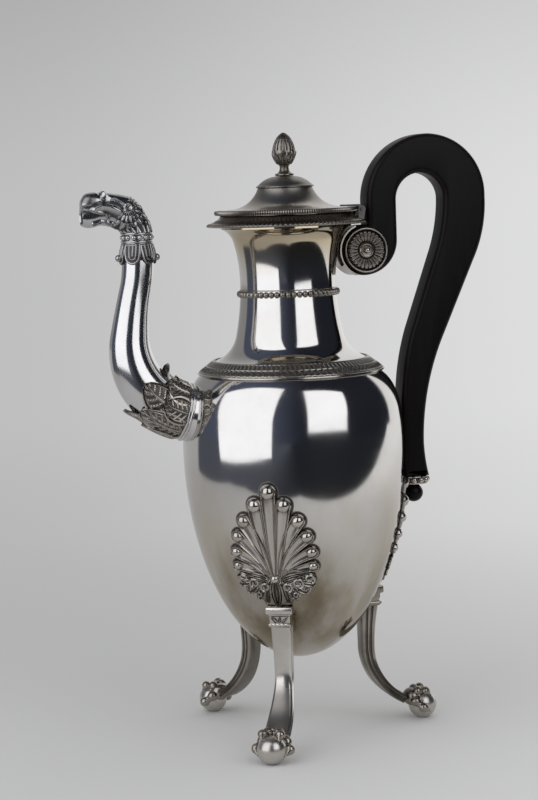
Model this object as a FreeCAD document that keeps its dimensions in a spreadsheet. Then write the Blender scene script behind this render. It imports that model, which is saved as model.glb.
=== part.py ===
import FreeCAD, Part

import math
import os

import Sketcher

# Silver coffee pot with an animal head spout, a wooden scroll handle and three claw and ball feet.
# Lengths are in millimetres. The origin is on the table under the pot's axis.
# +X points to the handle, -X to the spout and +Z up.

Vector = FreeCAD.Vector
Rotation = FreeCAD.Rotation
Placement = FreeCAD.Placement

X_AXIS = Vector(1, 0, 0)
Y_AXIS = Vector(0, 1, 0)
Z_AXIS = Vector(0, 0, 1)
ORIGIN = Vector(0, 0, 0)

doc = FreeCAD.newDocument("coffee_pot")
sheet = doc.addObject("Spreadsheet::Sheet", "dims")
pieces = []


class Size:
    """A length that keeps both its number and the sheet formula it comes from."""

    def __init__(self, number, formula):
        self.number = number
        self.formula = formula

    def __add__(self, other):
        other = as_size(other)
        return Size(self.number + other.number, "(%s + %s)" % (self.formula, other.formula))

    def __sub__(self, other):
        other = as_size(other)
        return Size(self.number - other.number, "(%s - %s)" % (self.formula, other.formula))

    def __mul__(self, other):
        other = as_size(other)
        return Size(self.number * other.number, "(%s * %s)" % (self.formula, other.formula))

    def __truediv__(self, other):
        other = as_size(other)
        return Size(self.number / other.number, "(%s / %s)" % (self.formula, other.formula))

    def __neg__(self):
        return Size(-self.number, "(0 - %s)" % self.formula)

    def __abs__(self):
        return self if self.number >= 0 else -self

    def __float__(self):
        return float(self.number)


class Oval:
    """Marks a quarter of an upright ellipse, by its centre."""

    def __init__(self, across, height):
        self.across = across
        self.height = height


def as_size(value):
    if isinstance(value, Size):
        return value
    return Size(float(value), "%.6f" % value)


def driving(name, number):
    """Put one driving dimension into the sheet."""
    row = driving.row = getattr(driving, "row", 0) + 1
    sheet.set("A%d" % row, name)
    sheet.set("B%d" % row, str(number))
    sheet.setAlias("B%d" % row, name)
    return Size(number, "dims." + name)


def bind(thing, name, value):
    """Set a property to a number, or tie it to the sheet."""
    if isinstance(value, Size):
        thing.setExpression(name, value.formula)
    else:
        setattr(thing, name, value)


def keep(thing, label):
    """Mark an object of the document as a finished piece."""
    thing.Label = label
    pieces.append(thing)
    return thing


# Sketches

def new_body(name):
    return doc.addObject("PartDesign::Body", name)


def new_sketch(body, name, role="XZ_Plane"):
    sketch = body.newObject("Sketcher::SketchObject", name)
    plane = [feature for feature in body.Origin.OriginFeatures if feature.Role == role][0]
    sketch.AttachmentSupport = [(plane, "")]
    sketch.MapMode = "FlatFace"
    return sketch


def constrain(sketch, kind, geometry, point, value):
    """Fix one coordinate of a sketch point, or a radius when the point is None."""
    value = as_size(value)
    if point is None:
        rule = Sketcher.Constraint(kind, geometry, value.number)
    else:
        rule = Sketcher.Constraint(kind, geometry, point, value.number)
    index = sketch.addConstraint(rule)
    if value.formula.find("dims.") >= 0:
        sketch.setExpression("Constraints[%d]" % index, value.formula)


def fix_point(sketch, geometry, point, across, height):
    constrain(sketch, "DistanceX", geometry, point, across)
    constrain(sketch, "DistanceY", geometry, point, height)


def add_arc(sketch, start, finish, bend):
    """Arc of a given radius: positive turns left on the way, negative turns right."""
    radius = abs(float(bend))
    left = float(bend) > 0
    chord = finish - start
    side = Vector(-chord.y, chord.x, 0)
    side.normalize()
    rise = math.sqrt(max(radius ** 2 - (chord.Length / 2) ** 2, 0))
    centre = (start + finish) / 2 + side * (rise if left else -rise)
    first, last = (start, finish) if left else (finish, start)
    begin = math.atan2(first.y - centre.y, first.x - centre.x)
    end = math.atan2(last.y - centre.y, last.x - centre.x)
    if end < begin:
        end += 2 * math.pi
    index = sketch.addGeometry(Part.ArcOfCircle(Part.Circle(centre, Z_AXIS, radius), begin, end), False)
    constrain(sketch, "Radius", index, None, abs(as_size(bend)))
    return (index, 1, 2) if left else (index, 2, 1)


def add_oval(sketch, start, finish, oval):
    """Quarter of an upright ellipse between its side point and its low point."""
    centre = Vector(float(oval.across), float(oval.height), 0)
    low, side = (start, finish) if abs(start.x - centre.x) < abs(finish.x - centre.x) else (finish, start)
    ellipse = Part.Ellipse(low, side, centre)
    index = sketch.addGeometry(Part.ArcOfEllipse(ellipse, 0, math.pi / 2), False)
    fix_point(sketch, index, 3, oval.across, oval.height)
    return (index, 1, 2) if low is start else (index, 2, 1)


def outline(sketch, corners):
    """Closed outline. A corner is (across, height), reached by a line, or with a third value by a curve."""
    points = [Vector(float(corner[0]), float(corner[1]), 0) for corner in corners]
    runs = []
    for number, corner in enumerate(corners):
        start = points[number - 1]
        finish = points[number]
        if len(corner) == 2:
            runs.append((sketch.addGeometry(Part.LineSegment(start, finish), False), 1, 2))
        elif isinstance(corner[2], Oval):
            runs.append(add_oval(sketch, start, finish, corner[2]))
        else:
            runs.append(add_arc(sketch, start, finish, corner[2]))
    for number, corner in enumerate(corners):
        run = runs[number]
        following = runs[(number + 1) % len(runs)]
        sketch.addConstraint(Sketcher.Constraint("Coincident", run[0], run[2], following[0], following[1]))
        fix_point(sketch, run[0], run[2], corner[0], corner[1])


def circle(sketch, across, height, radius):
    centre = Vector(float(across), float(height), 0)
    index = sketch.addGeometry(Part.Circle(centre, Z_AXIS, float(radius)), False)
    fix_point(sketch, index, 3, across, height)
    constrain(sketch, "Radius", index, None, radius)


def oval_ring(sketch, half_across, half_up):
    """Full ellipse about the sketch's origin."""
    wide = float(half_across) >= float(half_up)
    longer, shorter = (half_across, half_up) if wide else (half_up, half_across)
    tip = Vector(float(longer), 0, 0) if wide else Vector(0, float(longer), 0)
    flank = Vector(0, float(shorter), 0) if wide else Vector(-float(shorter), 0, 0)
    index = sketch.addGeometry(Part.Ellipse(tip, flank, ORIGIN), False)
    axes = sketch.GeometryCount
    sketch.exposeInternalGeometry(index)
    fix_point(sketch, index, 3, 0, 0)
    sketch.addConstraint(Sketcher.Constraint("Horizontal" if wide else "Vertical", axes))
    constrain(sketch, "Distance", axes, None, as_size(longer) * 2)
    constrain(sketch, "Distance", axes + 1, None, as_size(shorter) * 2)


# Features

def turned(name, corners):
    """Body turned about its own upright axis from half a section."""
    body = new_body(name)
    sketch = new_sketch(body, name + "_section")
    outline(sketch, corners)
    feature = body.newObject("PartDesign::Revolution", name + "_turn")
    feature.Profile = sketch
    feature.ReferenceAxis = (sketch, ["V_Axis"])
    feature.Angle = 360
    return body


def pad_on(body, name, corners, width, role="XZ_Plane"):
    """Pad an outline equally to both sides of an origin plane."""
    sketch = new_sketch(body, name + "_outline", role)
    outline(sketch, corners)
    feature = body.newObject("PartDesign::Pad", name + "_pad")
    feature.Profile = sketch
    feature.SideType = "Symmetric"
    bind(feature, "Length", width)
    return feature


def cut_through(body, sketch, name, depth):
    """Pocket a sketch to both sides of its plane."""
    feature = body.newObject("PartDesign::Pocket", name)
    feature.Profile = sketch
    feature.SideType = "Symmetric"
    bind(feature, "Length", depth)
    return feature


def spin_pattern(body, name, feature, count):
    """Repeat a feature evenly round the body's upright axis."""
    pattern = body.newObject("PartDesign::PolarPattern", name)
    pattern.Originals = [feature]
    pattern.Axis = ([item for item in body.Origin.OriginFeatures if item.Role == "Z_Axis"][0], [""])
    pattern.Angle = 360
    pattern.Occurrences = count
    body.Tip = pattern
    return pattern


def station(body, name, across, height, lean):
    """Sketch square to a path in the XZ plane, where lean is the path's heading from +Z towards +X."""
    sketch = new_sketch(body, name, "XY_Plane")
    sketch.AttachmentOffset = Placement(Vector(across, 0, height), Rotation(Y_AXIS, lean))
    return sketch


def loft(body, name, kind, sections):
    feature = body.newObject("PartDesign::" + kind, name)
    feature.Profile = sections[0]
    feature.Sections = sections[1:]
    return feature


def boolean(kind, name, base, tool):
    thing = doc.addObject("Part::" + kind, name)
    thing.Base = base
    thing.Tool = tool
    return thing


def fused(name, shapes):
    thing = doc.addObject("Part::MultiFuse", name)
    thing.Shapes = shapes
    return thing


def primitive(kind, name, sizes, placement=None):
    """Part primitive with its sizes tied to the sheet."""
    thing = doc.addObject("Part::" + kind, name)
    for key, value in sizes.items():
        bind(thing, key, value)
    if placement is not None:
        thing.Placement = placement
    return thing


def place(thing, across, depth, height, rotation=None):
    """Give a piece its place in the pot."""
    if rotation is not None:
        thing.Placement = Placement(ORIGIN, rotation)
    for axis, value in zip("xyz", (across, depth, height)):
        if isinstance(value, Size):
            thing.setExpression("Placement.Base." + axis, value.formula)
        elif value:
            thing.setExpression("Placement.Base." + axis, "%.6f" % value)


# Sheet metal and the egg-shaped body

wall = driving("wall", 1.0)
body_radius = driving("body_radius", 58.8)
body_mid = driving("body_mid", 155.0)
body_low = driving("body_low", 41.0)
hip_radius = driving("hip_radius", 57.6)
hip_height = driving("hip_height", 174.0)
hip_bend = driving("hip_bend", 150.0)
shoulder_radius = driving("shoulder_radius", 40.6)
shoulder_height = driving("shoulder_height", 200.9)
shoulder_bend = driving("shoulder_bend", 37.7)

# Neck, mouth and shoulder band

neck_foot_radius = driving("neck_foot_radius", 40.1)
neck_foot_height = driving("neck_foot_height", 201.0)
neck_spigot = driving("neck_spigot", 1.6)
cove_radius = driving("cove_radius", 28.5)
cove_height = driving("cove_height", 213.8)
cove_bend = driving("cove_bend", 17.4)
waist_radius = driving("waist_radius", 25.4)
waist_height = driving("waist_height", 243.0)
waist_bend = driving("waist_bend", 139.0)
throat_radius = driving("throat_radius", 28.3)
throat_height = driving("throat_height", 263.6)
throat_bend = driving("throat_bend", 74.6)
lip_radius = driving("lip_radius", 34.4)
lip_height = driving("lip_height", 270.4)
lip_bend = driving("lip_bend", 10.5)
band_foot_radius = driving("band_foot_radius", 48.2)
band_foot_height = driving("band_foot_height", 194.45)
band_thickness = driving("band_thickness", 1.3)
bead_ring_height = driving("bead_ring_height", 236.1)
bead_ring_radius = driving("bead_ring_radius", 25.7)
bead_radius = driving("bead_radius", 1.4)
rim_radius = driving("rim_radius", 42.0)
rim_low = driving("rim_low", 271.4)
rim_top = driving("rim_top", 277.4)
rim_top_radius = driving("rim_top_radius", 35.0)
rim_cove_bend = driving("rim_cove_bend", 7.5)
mouth_radius = driving("mouth_radius", 33.0)

# Spout

spout_foot_across = driving("spout_foot_across", -57.2)
spout_foot_height = driving("spout_foot_height", 176.0)
spout_rise = driving("spout_rise", 11.6)
spout_foot_radius = driving("spout_foot_radius", 13.2)
spout_tip_radius = driving("spout_tip_radius", 8.3)
spout_ring_radius = driving("spout_ring_radius", 15.1)
spout_ring_length = driving("spout_ring_length", 3.2)
strainer_hole_radius = driving("strainer_hole_radius", 1.5)
strainer_pitch = driving("strainer_pitch", 4.6)
calyx_thickness = driving("calyx_thickness", 2.0)
leaf_gap = driving("leaf_gap", 8.4)
collar_radius = driving("collar_radius", 9.6)
collar_low = driving("collar_low", 255.0)
collar_top = driving("collar_top", 265.6)
bead_band_top = driving("bead_band_top", 271.0)

# Lid and knob

lid_gap = driving("lid_gap", 0.3)
lid_edge_radius = driving("lid_edge_radius", 37.7)
lid_edge_thickness = driving("lid_edge_thickness", 2.4)
lid_plate_radius = driving("lid_plate_radius", 35.6)
lid_sheet = driving("lid_sheet", 1.1)
ledge_radius = driving("ledge_radius", 15.0)
ledge_height = driving("ledge_height", 291.4)
cap_bend = driving("cap_bend", 13.8)
lid_cove_bend = driving("lid_cove_bend", 16.1)
knob_height = driving("knob_height", 297.4)
knob_top = driving("knob_top", 320.0)
knob_radius = driving("knob_radius", 6.05)
stud_radius = driving("stud_radius", 1.5)
bezel_radius = driving("bezel_radius", 32.3)
bezel_low = driving("bezel_low", 272.6)
hinge_across = driving("hinge_across", 40.0)
hinge_height = driving("hinge_height", 278.6)
hinge_radius = driving("hinge_radius", 2.0)
hinge_pin_radius = driving("hinge_pin_radius", 0.9)
hinge_clearance = driving("hinge_clearance", 0.05)
hinge_half_length = driving("hinge_half_length", 7.0)
hinge_inner_half = driving("hinge_inner_half", 3.0)
strap_end = driving("strap_end", 31.0)

# Handle

handle_thickness = driving("handle_thickness", 16.0)
stem_left = driving("stem_left", 43.2)
stem_right = driving("stem_right", 59.6)
crest_left_height = driving("crest_left_height", 283.0)
crest_across = driving("crest_across", 78.4)
crest_top = driving("crest_top", 317.4)
crest_reach = driving("crest_reach", 110.2)
crest_left_bend = driving("crest_left_bend", 34.8)
crest_right_bend = driving("crest_right_bend", 33.2)
back_across = driving("back_across", 102.6)
back_height = driving("back_height", 248.9)
back_bend = driving("back_bend", 70.0)
waist_across = driving("waist_across", 84.9)
waist_level = driving("waist_level", 210.3)
tail_waist_across = driving("tail_waist_across", 71.8)
tail_waist_height = driving("tail_waist_height", 152.0)
tail_bend = driving("tail_bend", 137.0)
tail_flare_bend = driving("tail_flare_bend", 91.0)
tail_half_width = driving("tail_half_width", 7.2)
inner_across = driving("inner_across", 59.8)
inner_height = driving("inner_height", 172.0)
inner_bend = driving("inner_bend", 135.0)
loop_across = driving("loop_across", 73.0)
loop_height = driving("loop_height", 296.7)
loop_bend = driving("loop_bend", 14.0)
loop_reach = driving("loop_reach", 86.3)
scroll_outer_bend = driving("scroll_outer_bend", 18.55)
handle_edge = driving("handle_edge", 3.0)
scroll_across = driving("scroll_across", 41.0)
scroll_height = driving("scroll_height", 256.9)
scroll_radius = driving("scroll_radius", 13.4)
socket_thickness = driving("socket_thickness", 0.8)
rosette_radius = driving("rosette_radius", 12.9)
rosette_thickness = driving("rosette_thickness", 2.2)
rivet_radius = driving("rivet_radius", 1.6)
tail_across = driving("tail_across", 67.0)
tail_height = driving("tail_height", 134.0)
tail_radius = driving("tail_radius", 6.1)
tail_ring_radius = driving("tail_ring_radius", 8.5)
tail_ring_low = driving("tail_ring_low", 129.7)
drop_radius = driving("drop_radius", 5.1)
drop_height = driving("drop_height", 124.6)

# Legs and feet

foot_reach = driving("foot_reach", 68.0)
foot_ball_radius = driving("foot_ball_radius", 8.2)
foot_ball_height = driving("foot_ball_height", 7.9)
leg_centre_reach = driving("leg_centre_reach", 73.0)
leg_centre_height = driving("leg_centre_height", 42.5)
leg_outer_bend = driving("leg_outer_bend", 32.0)
leg_thickness = driving("leg_thickness", 7.3)
leg_half_width = driving("leg_half_width", 4.5)
leg_top = driving("leg_top", 65.3)
capital_low = driving("capital_low", 72.3)
capital_top = driving("capital_top", 76.2)
capital_width = driving("capital_width", 14.0)
palmette_thickness = driving("palmette_thickness", 2.6)
palmette_hub = driving("palmette_hub", 94.0)
palmette_length = driving("palmette_length", 44.5)
palmette_bead = driving("palmette_bead", 2.9)
palmette_side_lobes = 5
palmette_lobe_angle = 14.6
palmette_lobe_shrink = 0.858
palmette_bead_shrink = 0.945
flute_depth = driving("flute_depth", 1.0)
groove_radius = driving("groove_radius", 0.45)
neck_beads = 54
rosette_petals = 36
bud_petals = 14
doc.recompute()


# Body

def egg_corners(grow):
    """Half section of the body's outer skin, from the low point up to the shoulder seam."""
    low = body_low - grow
    return [
        (0, low),
        (body_radius + grow, body_mid, Oval(0, body_mid)),
        (hip_radius + grow, hip_height, hip_bend + grow),
        (shoulder_radius + grow * 0.54, shoulder_height + grow * 0.84, shoulder_bend + grow),
    ]


def solid_egg(name, grow):
    top = shoulder_height + grow * 0.84
    return turned(name, egg_corners(grow) + [(0, top)])


def make_body_shell():
    inner = egg_corners(-wall)
    hollow = [
        (inner[3][0], inner[3][1]),
        (inner[2][0], inner[2][1], -inner[3][2]),
        (inner[1][0], inner[1][1], -inner[2][2]),
        (0, inner[0][1], Oval(0, body_mid)),
    ]
    body = turned("body_shell", egg_corners(as_size(0)) + hollow)
    doc.recompute()
    before = body.Shape.Volume
    holes = new_sketch(body, "strainer_holes", "YZ_Plane")
    circle(holes, 0, spout_foot_height, strainer_hole_radius)
    for ring in (1, 2):
        for step in range(6 * ring):
            angle = 2 * math.pi * step / (6 * ring)
            across = strainer_pitch * (ring * math.cos(angle))
            height = spout_foot_height + strainer_pitch * (ring * math.sin(angle))
            circle(holes, across, height, strainer_hole_radius)
    pocket = body.newObject("PartDesign::Pocket", "strainer")
    pocket.Profile = holes
    bind(pocket, "Length", body_radius + 5)
    doc.recompute()
    if body.Shape.BoundBox.XMax < float(body_radius) - 0.1 or body.Shape.Volume >= before:
        raise RuntimeError("strainer holes miss the spout side")
    return keep(body, "body_shell")


body_form = solid_egg("body_form", as_size(0))
body_shell = make_body_shell()


# Neck, shoulder band, bead ring and mouth

def neck_corners():
    """Outer side upwards, then the inner side down again."""
    spigot_radius = neck_foot_radius - wall
    foot_low = neck_foot_height - neck_spigot
    lip_top = rim_low
    return [
        (spigot_radius, foot_low),
        (spigot_radius, neck_foot_height),
        (neck_foot_radius, neck_foot_height),
        (cove_radius, cove_height, -cove_bend),
        (waist_radius, waist_height, -waist_bend),
        (throat_radius, throat_height, -throat_bend),
        (lip_radius, lip_height, -lip_bend),
        (lip_radius, lip_top),
        (lip_radius - wall, lip_top),
        (throat_radius - wall, throat_height + wall / 2, lip_bend + wall),
        (waist_radius - wall, waist_height, throat_bend + wall),
        (cove_radius - wall, cove_height, waist_bend + wall),
        (spigot_radius - wall, foot_low, cove_bend + wall),
    ]


neck_shell = keep(turned("neck_shell", neck_corners()), "neck_shell")

shoulder_band = keep(turned("shoulder_band", [
    (band_foot_radius, band_foot_height),
    (shoulder_radius, shoulder_height, shoulder_bend),
    (neck_foot_radius + 0.15, neck_foot_height + 0.3),
    (neck_foot_radius + 0.15, neck_foot_height + band_thickness),
    (neck_foot_radius + 0.9, neck_foot_height + band_thickness),
    (band_foot_radius + 0.4, band_foot_height + band_thickness, -(shoulder_bend + band_thickness)),
    (band_foot_radius + band_thickness, band_foot_height + 0.1, -0.9),
]), "shoulder_band")


def square_frame(first, second, spot):
    """Frame at a spot whose first two axes are two given square directions."""
    third = first.cross(second)
    return FreeCAD.Matrix(first.x, second.x, third.x, spot.x,
                          first.y, second.y, third.y, spot.y,
                          first.z, second.z, third.z, spot.z, 0, 0, 0, 1)


def bead_circle(name, count, ring_radius, radius, height):
    """Spheres evenly spaced on a level circle about the origin's upright axis."""
    beads = []
    for step in range(count):
        outward = Rotation(Z_AXIS, 360.0 * step / count)
        spot = outward.multVec(Vector(float(ring_radius), 0, float(height)))
        frame = Placement(spot, outward)
        beads.append(primitive("Sphere", "%s_%d" % (name, step), {"Radius": radius}, frame))
    return beads


def make_neck_bead_ring():
    """Half-round wire that carries a row of beads, bored to sit on the neck."""
    low = bead_ring_height - bead_radius * 0.8
    top = bead_ring_height + bead_radius * 0.8
    wire = turned("neck_wire", [
        (bead_ring_radius - wall, low),
        (bead_ring_radius, low),
        (bead_ring_radius, top, bead_radius),
        (bead_ring_radius - wall, top),
    ])
    beads = bead_circle("neck_bead", neck_beads, bead_ring_radius + 0.15, bead_radius, bead_ring_height)
    bore = primitive("Cylinder", "neck_bead_bore", {"Radius": bead_ring_radius, "Height": bead_radius * 4})
    place(bore, 0, 0, bead_ring_height - bead_radius * 2)
    cluster = fused("neck_bead_cluster", [wire] + beads)
    return keep(boolean("Cut", "neck_bead_ring", cluster, bore), "neck_bead_ring")


neck_bead_ring = make_neck_bead_ring()

mouth_rim = keep(turned("mouth_rim", [
    (mouth_radius, rim_low),
    (rim_radius - 0.5, rim_low),
    (rim_radius - 0.5, rim_low + 1.8, 0.92),
    (rim_top_radius, rim_top, -rim_cove_bend),
    (mouth_radius, rim_top),
]), "mouth_rim")


# Spout

def spout_path():
    """Centre line of the spout in the XZ plane as arcs: radius, turn in degrees, positive to the left."""
    return [(37.0, -84.0), (200.0, -7.4), (70.0, 13.0)]


def along(start, heading, arcs, distance):
    """Point and heading at a distance along tangent arcs, straight on past the end."""
    point = Vector(start)
    for radius, turn in arcs:
        length = radius * math.radians(abs(turn))
        part = min(1.0, distance / length)
        step = turn * part
        middle = math.radians(heading + step / 2)
        chord = 2 * radius * math.sin(math.radians(abs(step)) / 2)
        point = point + Vector(math.cos(middle), 0, math.sin(middle)) * chord
        heading += step
        distance -= length * part
        if part < 1.0:
            return point, heading
    angle = math.radians(heading)
    return point + Vector(math.cos(angle), 0, math.sin(angle)) * distance, heading


def spout_point(distance):
    start = Vector(float(spout_foot_across), 0, float(spout_foot_height))
    return along(start, 180 - float(spout_rise), spout_path(), distance)


def spout_radius(distance):
    """The tube keeps its width round the bend, then narrows to the collar."""
    fall = min(max((distance - 15.0) / 70.0, 0.0), 1.0)
    share = (1 + math.cos(math.pi * fall)) / 2
    return spout_tip_radius + (spout_foot_radius - spout_tip_radius) * share


def spout_sections(body, name, distances, grow):
    sections = []
    for number, distance in enumerate(distances):
        point, heading = spout_point(distance)
        sketch = station(body, "%s_%d" % (name, number), point.x, point.z, 90 - heading)
        circle(sketch, 0, 0, spout_radius(distance) + grow)
        sections.append(sketch)
    return sections


SPOUT_STATIONS = (3.2, 14, 26, 38, 50, 62, 76, 88, 97)


def make_spout_tube():
    body = new_body("spout_tube")
    loft(body, "tube_skin", "AdditiveLoft", spout_sections(body, "skin", SPOUT_STATIONS, as_size(0)))
    doc.recompute()
    loft(body, "tube_bore", "SubtractiveLoft", spout_sections(body, "bore", SPOUT_STATIONS, -wall))
    return keep(body, "spout_tube")


def make_spout_base_ring():
    """Moulded ring, square to the spout's foot and scribed to the body."""
    sunk = 10.0
    ring = turned("spout_ring_blank", [
        (spout_foot_radius - wall, -sunk),
        (spout_ring_radius, -sunk),
        (spout_ring_radius, -spout_ring_length * 0.7),
        (spout_ring_radius - 0.9, 0, 1.6),
        (spout_foot_radius - wall, 0),
    ])
    point, heading = spout_point(SPOUT_STATIONS[0])
    place(ring, point.x, 0, point.z, Rotation(Y_AXIS, 90 - heading))
    return keep(boolean("Cut", "spout_base_ring", ring, body_form), "spout_base_ring")


spout_tube = make_spout_tube()
spout_base_ring = make_spout_base_ring()


# Lid

lid_low = rim_top + lid_gap
lid_top = lid_low + lid_edge_thickness
plate_low = lid_low + lid_sheet

lid_dome = keep(turned("lid_dome", [
    (stud_radius + 0.2, knob_height),
    (stud_radius + 0.2, knob_height - lid_sheet),
    (4.3, knob_height - lid_sheet - 0.2),
    (ledge_radius - 2.1, ledge_height + 0.6, -(cap_bend - lid_sheet)),
    (ledge_radius - 1.9, ledge_height - 0.1),
    (27.4, plate_low + 0.6, lid_cove_bend + lid_sheet),
    (lid_plate_radius - 0.7, plate_low),
    (lid_plate_radius, plate_low),
    (lid_plate_radius, lid_top - 0.1),
    (28.0, lid_top + 0.5),
    (ledge_radius - 0.7, ledge_height, -lid_cove_bend),
    (ledge_radius, ledge_height),
    (ledge_radius, ledge_height + 0.8),
    (ledge_radius - 1.0, ledge_height + 1.5),
    (4.6, knob_height - 0.2, cap_bend),
]), "lid_dome")

lid_edge = keep(turned("lid_edge", [
    (lid_plate_radius, lid_low),
    (lid_edge_radius - 0.6, lid_low),
    (lid_edge_radius - 0.6, lid_top, lid_edge_thickness * 0.56),
    (lid_plate_radius, lid_top),
]), "lid_edge")

lid_bezel = keep(turned("lid_bezel", [
    (bezel_radius - wall, bezel_low),
    (bezel_radius, bezel_low),
    (bezel_radius, plate_low + 0.15),
    (bezel_radius - wall, plate_low + 0.15),
]), "lid_bezel")

finial_base = keep(turned("finial_base", [
    (stud_radius, knob_height),
    (4.6, knob_height),
    (4.6, knob_height + 1.2, 0.62),
    (stud_radius, knob_height + 1.2),
]), "finial_base")

def make_finial_bud():
    """Bud with a groove between each two of its long petals, sunk along the arc of its upper half."""
    widest = knob_height + 12.6
    throat = knob_height + 18.9
    throat_radius = as_size(3.9)
    flank_bend = 14.0
    form = turned("bud_form", [
        (0, ledge_height + 0.8),
        (stud_radius, ledge_height + 0.8),
        (stud_radius, knob_height + 1.2),
        (3.6, knob_height + 1.2),
        (2.3, knob_height + 3.6, -3.2),
        (2.4, knob_height + 5.8),
        (knob_radius, widest, 9.2),
        (throat_radius, throat, flank_bend),
        (0.7, knob_top - 0.7, 9.0),
        (0, knob_top, 0.7),
    ])
    low = Vector(float(knob_radius), 0, float(widest))
    half = (Vector(float(throat_radius), 0, float(throat)) - low) * 0.5
    aside = Vector(-half.z, 0, half.x).normalize()
    centre = low + half + aside * math.sqrt(flank_bend ** 2 - half.Length ** 2)
    start = (low - centre).normalize()
    rise = Vector(-start.z, 0, start.x)
    sweep = 2 * math.degrees(math.asin(half.Length / flank_bend))
    flank = Placement(square_frame(start, rise, centre))
    grooves = []
    for step in range(bud_petals):
        turn = Placement(ORIGIN, Rotation(Z_AXIS, 360.0 * step / bud_petals))
        sizes = {"Radius1": flank_bend, "Radius2": groove_radius, "Angle3": sweep}
        grooves.append(primitive("Torus", "bud_groove", sizes, turn.multiply(flank)))
    return keep(boolean("Cut", "finial_bud", form, fused("bud_grooves", grooves)), "finial_bud")


finial_bud = make_finial_bud()


def make_finial_nut():
    body = new_body("finial_nut")
    sketch = new_sketch(body, "nut_outline", "XY_Plane")
    corners = []
    for step in range(6):
        angle = math.pi * step / 3
        corners.append((stud_radius * (2.2 * math.cos(angle)), stud_radius * (2.2 * math.sin(angle))))
    outline(sketch, corners)
    circle(sketch, 0, 0, stud_radius)
    pad = body.newObject("PartDesign::Pad", "nut_pad")
    pad.Profile = sketch
    pad.Length = 2.4
    place(body, 0, 0, knob_height - lid_sheet - 2.7)
    return keep(body, "finial_nut")


finial_nut = make_finial_nut()


# Spout ornament and head

def make_spout_calyx():
    """Cup of four leaves round the foot of the tube."""
    cup = new_body("calyx_cup")
    stations = (3.3, 10, 18, 26)
    loft(cup, "cup_skin", "AdditiveLoft", spout_sections(cup, "cup_skin", stations, calyx_thickness))
    doc.recompute()
    loft(cup, "cup_bore", "SubtractiveLoft", spout_sections(cup, "cup_bore", stations, as_size(0.12)))
    point, heading = spout_point(27.0)
    notches = []
    for number, twist in enumerate((45, -45)):
        turn = Rotation(Y_AXIS, 90 - heading).multiply(Rotation(Z_AXIS, twist))
        turn = turn.multiply(Rotation(Y_AXIS, 90))
        notch = primitive("Cylinder", "leaf_gap_%d" % number, {"Radius": leaf_gap, "Height": 60.0})
        notch.Placement = Placement(point, turn).multiply(Placement(Vector(0, 0, -30), Rotation()))
        notches.append(notch)
    return keep(boolean("Cut", "spout_calyx", cup, fused("leaf_gaps", notches)), "spout_calyx")


COLLAR_ACROSS = spout_point(97)[0].x


def make_spout_collar():
    """Leaf collar over the end of the tube, with a ball on each side tip."""
    seat = Size(spout_point(97)[0].z, "%.6f" % spout_point(97)[0].z)
    bore = spout_tip_radius + 0.2
    cup = turned("collar_cup", [
        (bore, collar_low),
        (spout_tip_radius + 0.9, collar_low),
        (collar_radius, collar_low + 4.4, 7.0),
        (spout_tip_radius - 0.4, collar_top, 14.0),
        (spout_tip_radius - 1.7, collar_top),
        (spout_tip_radius - 1.7, seat + 0.02),
        (bore, seat + 0.02),
    ])
    notch = new_sketch(cup, "collar_notch", "YZ_Plane")
    circle(notch, 0, collar_low - 0.6, 2.4)
    pocket = cut_through(cup, notch, "collar_notch_cut", 40.0)
    spin_pattern(cup, "collar_notches", pocket, 6)
    place(cup, COLLAR_ACROSS, 0, 0)
    balls = []
    for side in (-1, 1):
        spot = Vector(COLLAR_ACROSS + side * (float(collar_radius) + 0.5), 0, float(collar_low) + 2.6)
        balls.append(primitive("Sphere", "collar_ball", {"Radius": 1.9}, Placement(spot, Rotation())))
    return keep(fused("spout_collar", [cup] + balls), "spout_collar")


def make_spout_bead_band():
    """Two wires with a row of beads between them."""
    bore = spout_tip_radius - 1.7
    low = collar_top
    top = bead_band_top
    ring = turned("bead_band_ring", [
        (bore, low),
        (spout_tip_radius - 0.2, low),
        (spout_tip_radius - 0.2, low + 1.2, 0.62),
        (spout_tip_radius - 1.0, low + 1.2),
        (spout_tip_radius - 1.0, top - 1.2),
        (spout_tip_radius - 0.2, top - 1.2),
        (spout_tip_radius - 0.2, top, 0.62),
        (bore, top),
    ])
    beads = bead_circle("band_bead", 14, spout_tip_radius - 1.0, 1.45, (low + top) / 2)
    band = fused("bead_band_cluster", [ring] + beads)
    place(band, COLLAR_ACROSS, 0, 0)
    core = primitive("Cylinder", "band_core", {"Radius": bore, "Height": 10.0})
    place(core, COLLAR_ACROSS, 0, low - 2)
    return keep(boolean("Cut", "spout_bead_band", band, core), "spout_bead_band")


def head_point(distance):
    start = Vector(COLLAR_ACROSS, 0, float(bead_band_top))
    return along(start, 90.0, [(12.0, 80.0), (60.0, 14.0)], distance)


def head_section(body, name, distance, half_height, half_width):
    point, heading = head_point(distance)
    sketch = station(body, name, point.x, point.z, 90 - heading)
    oval_ring(sketch, half_height, half_width)
    return sketch


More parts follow.
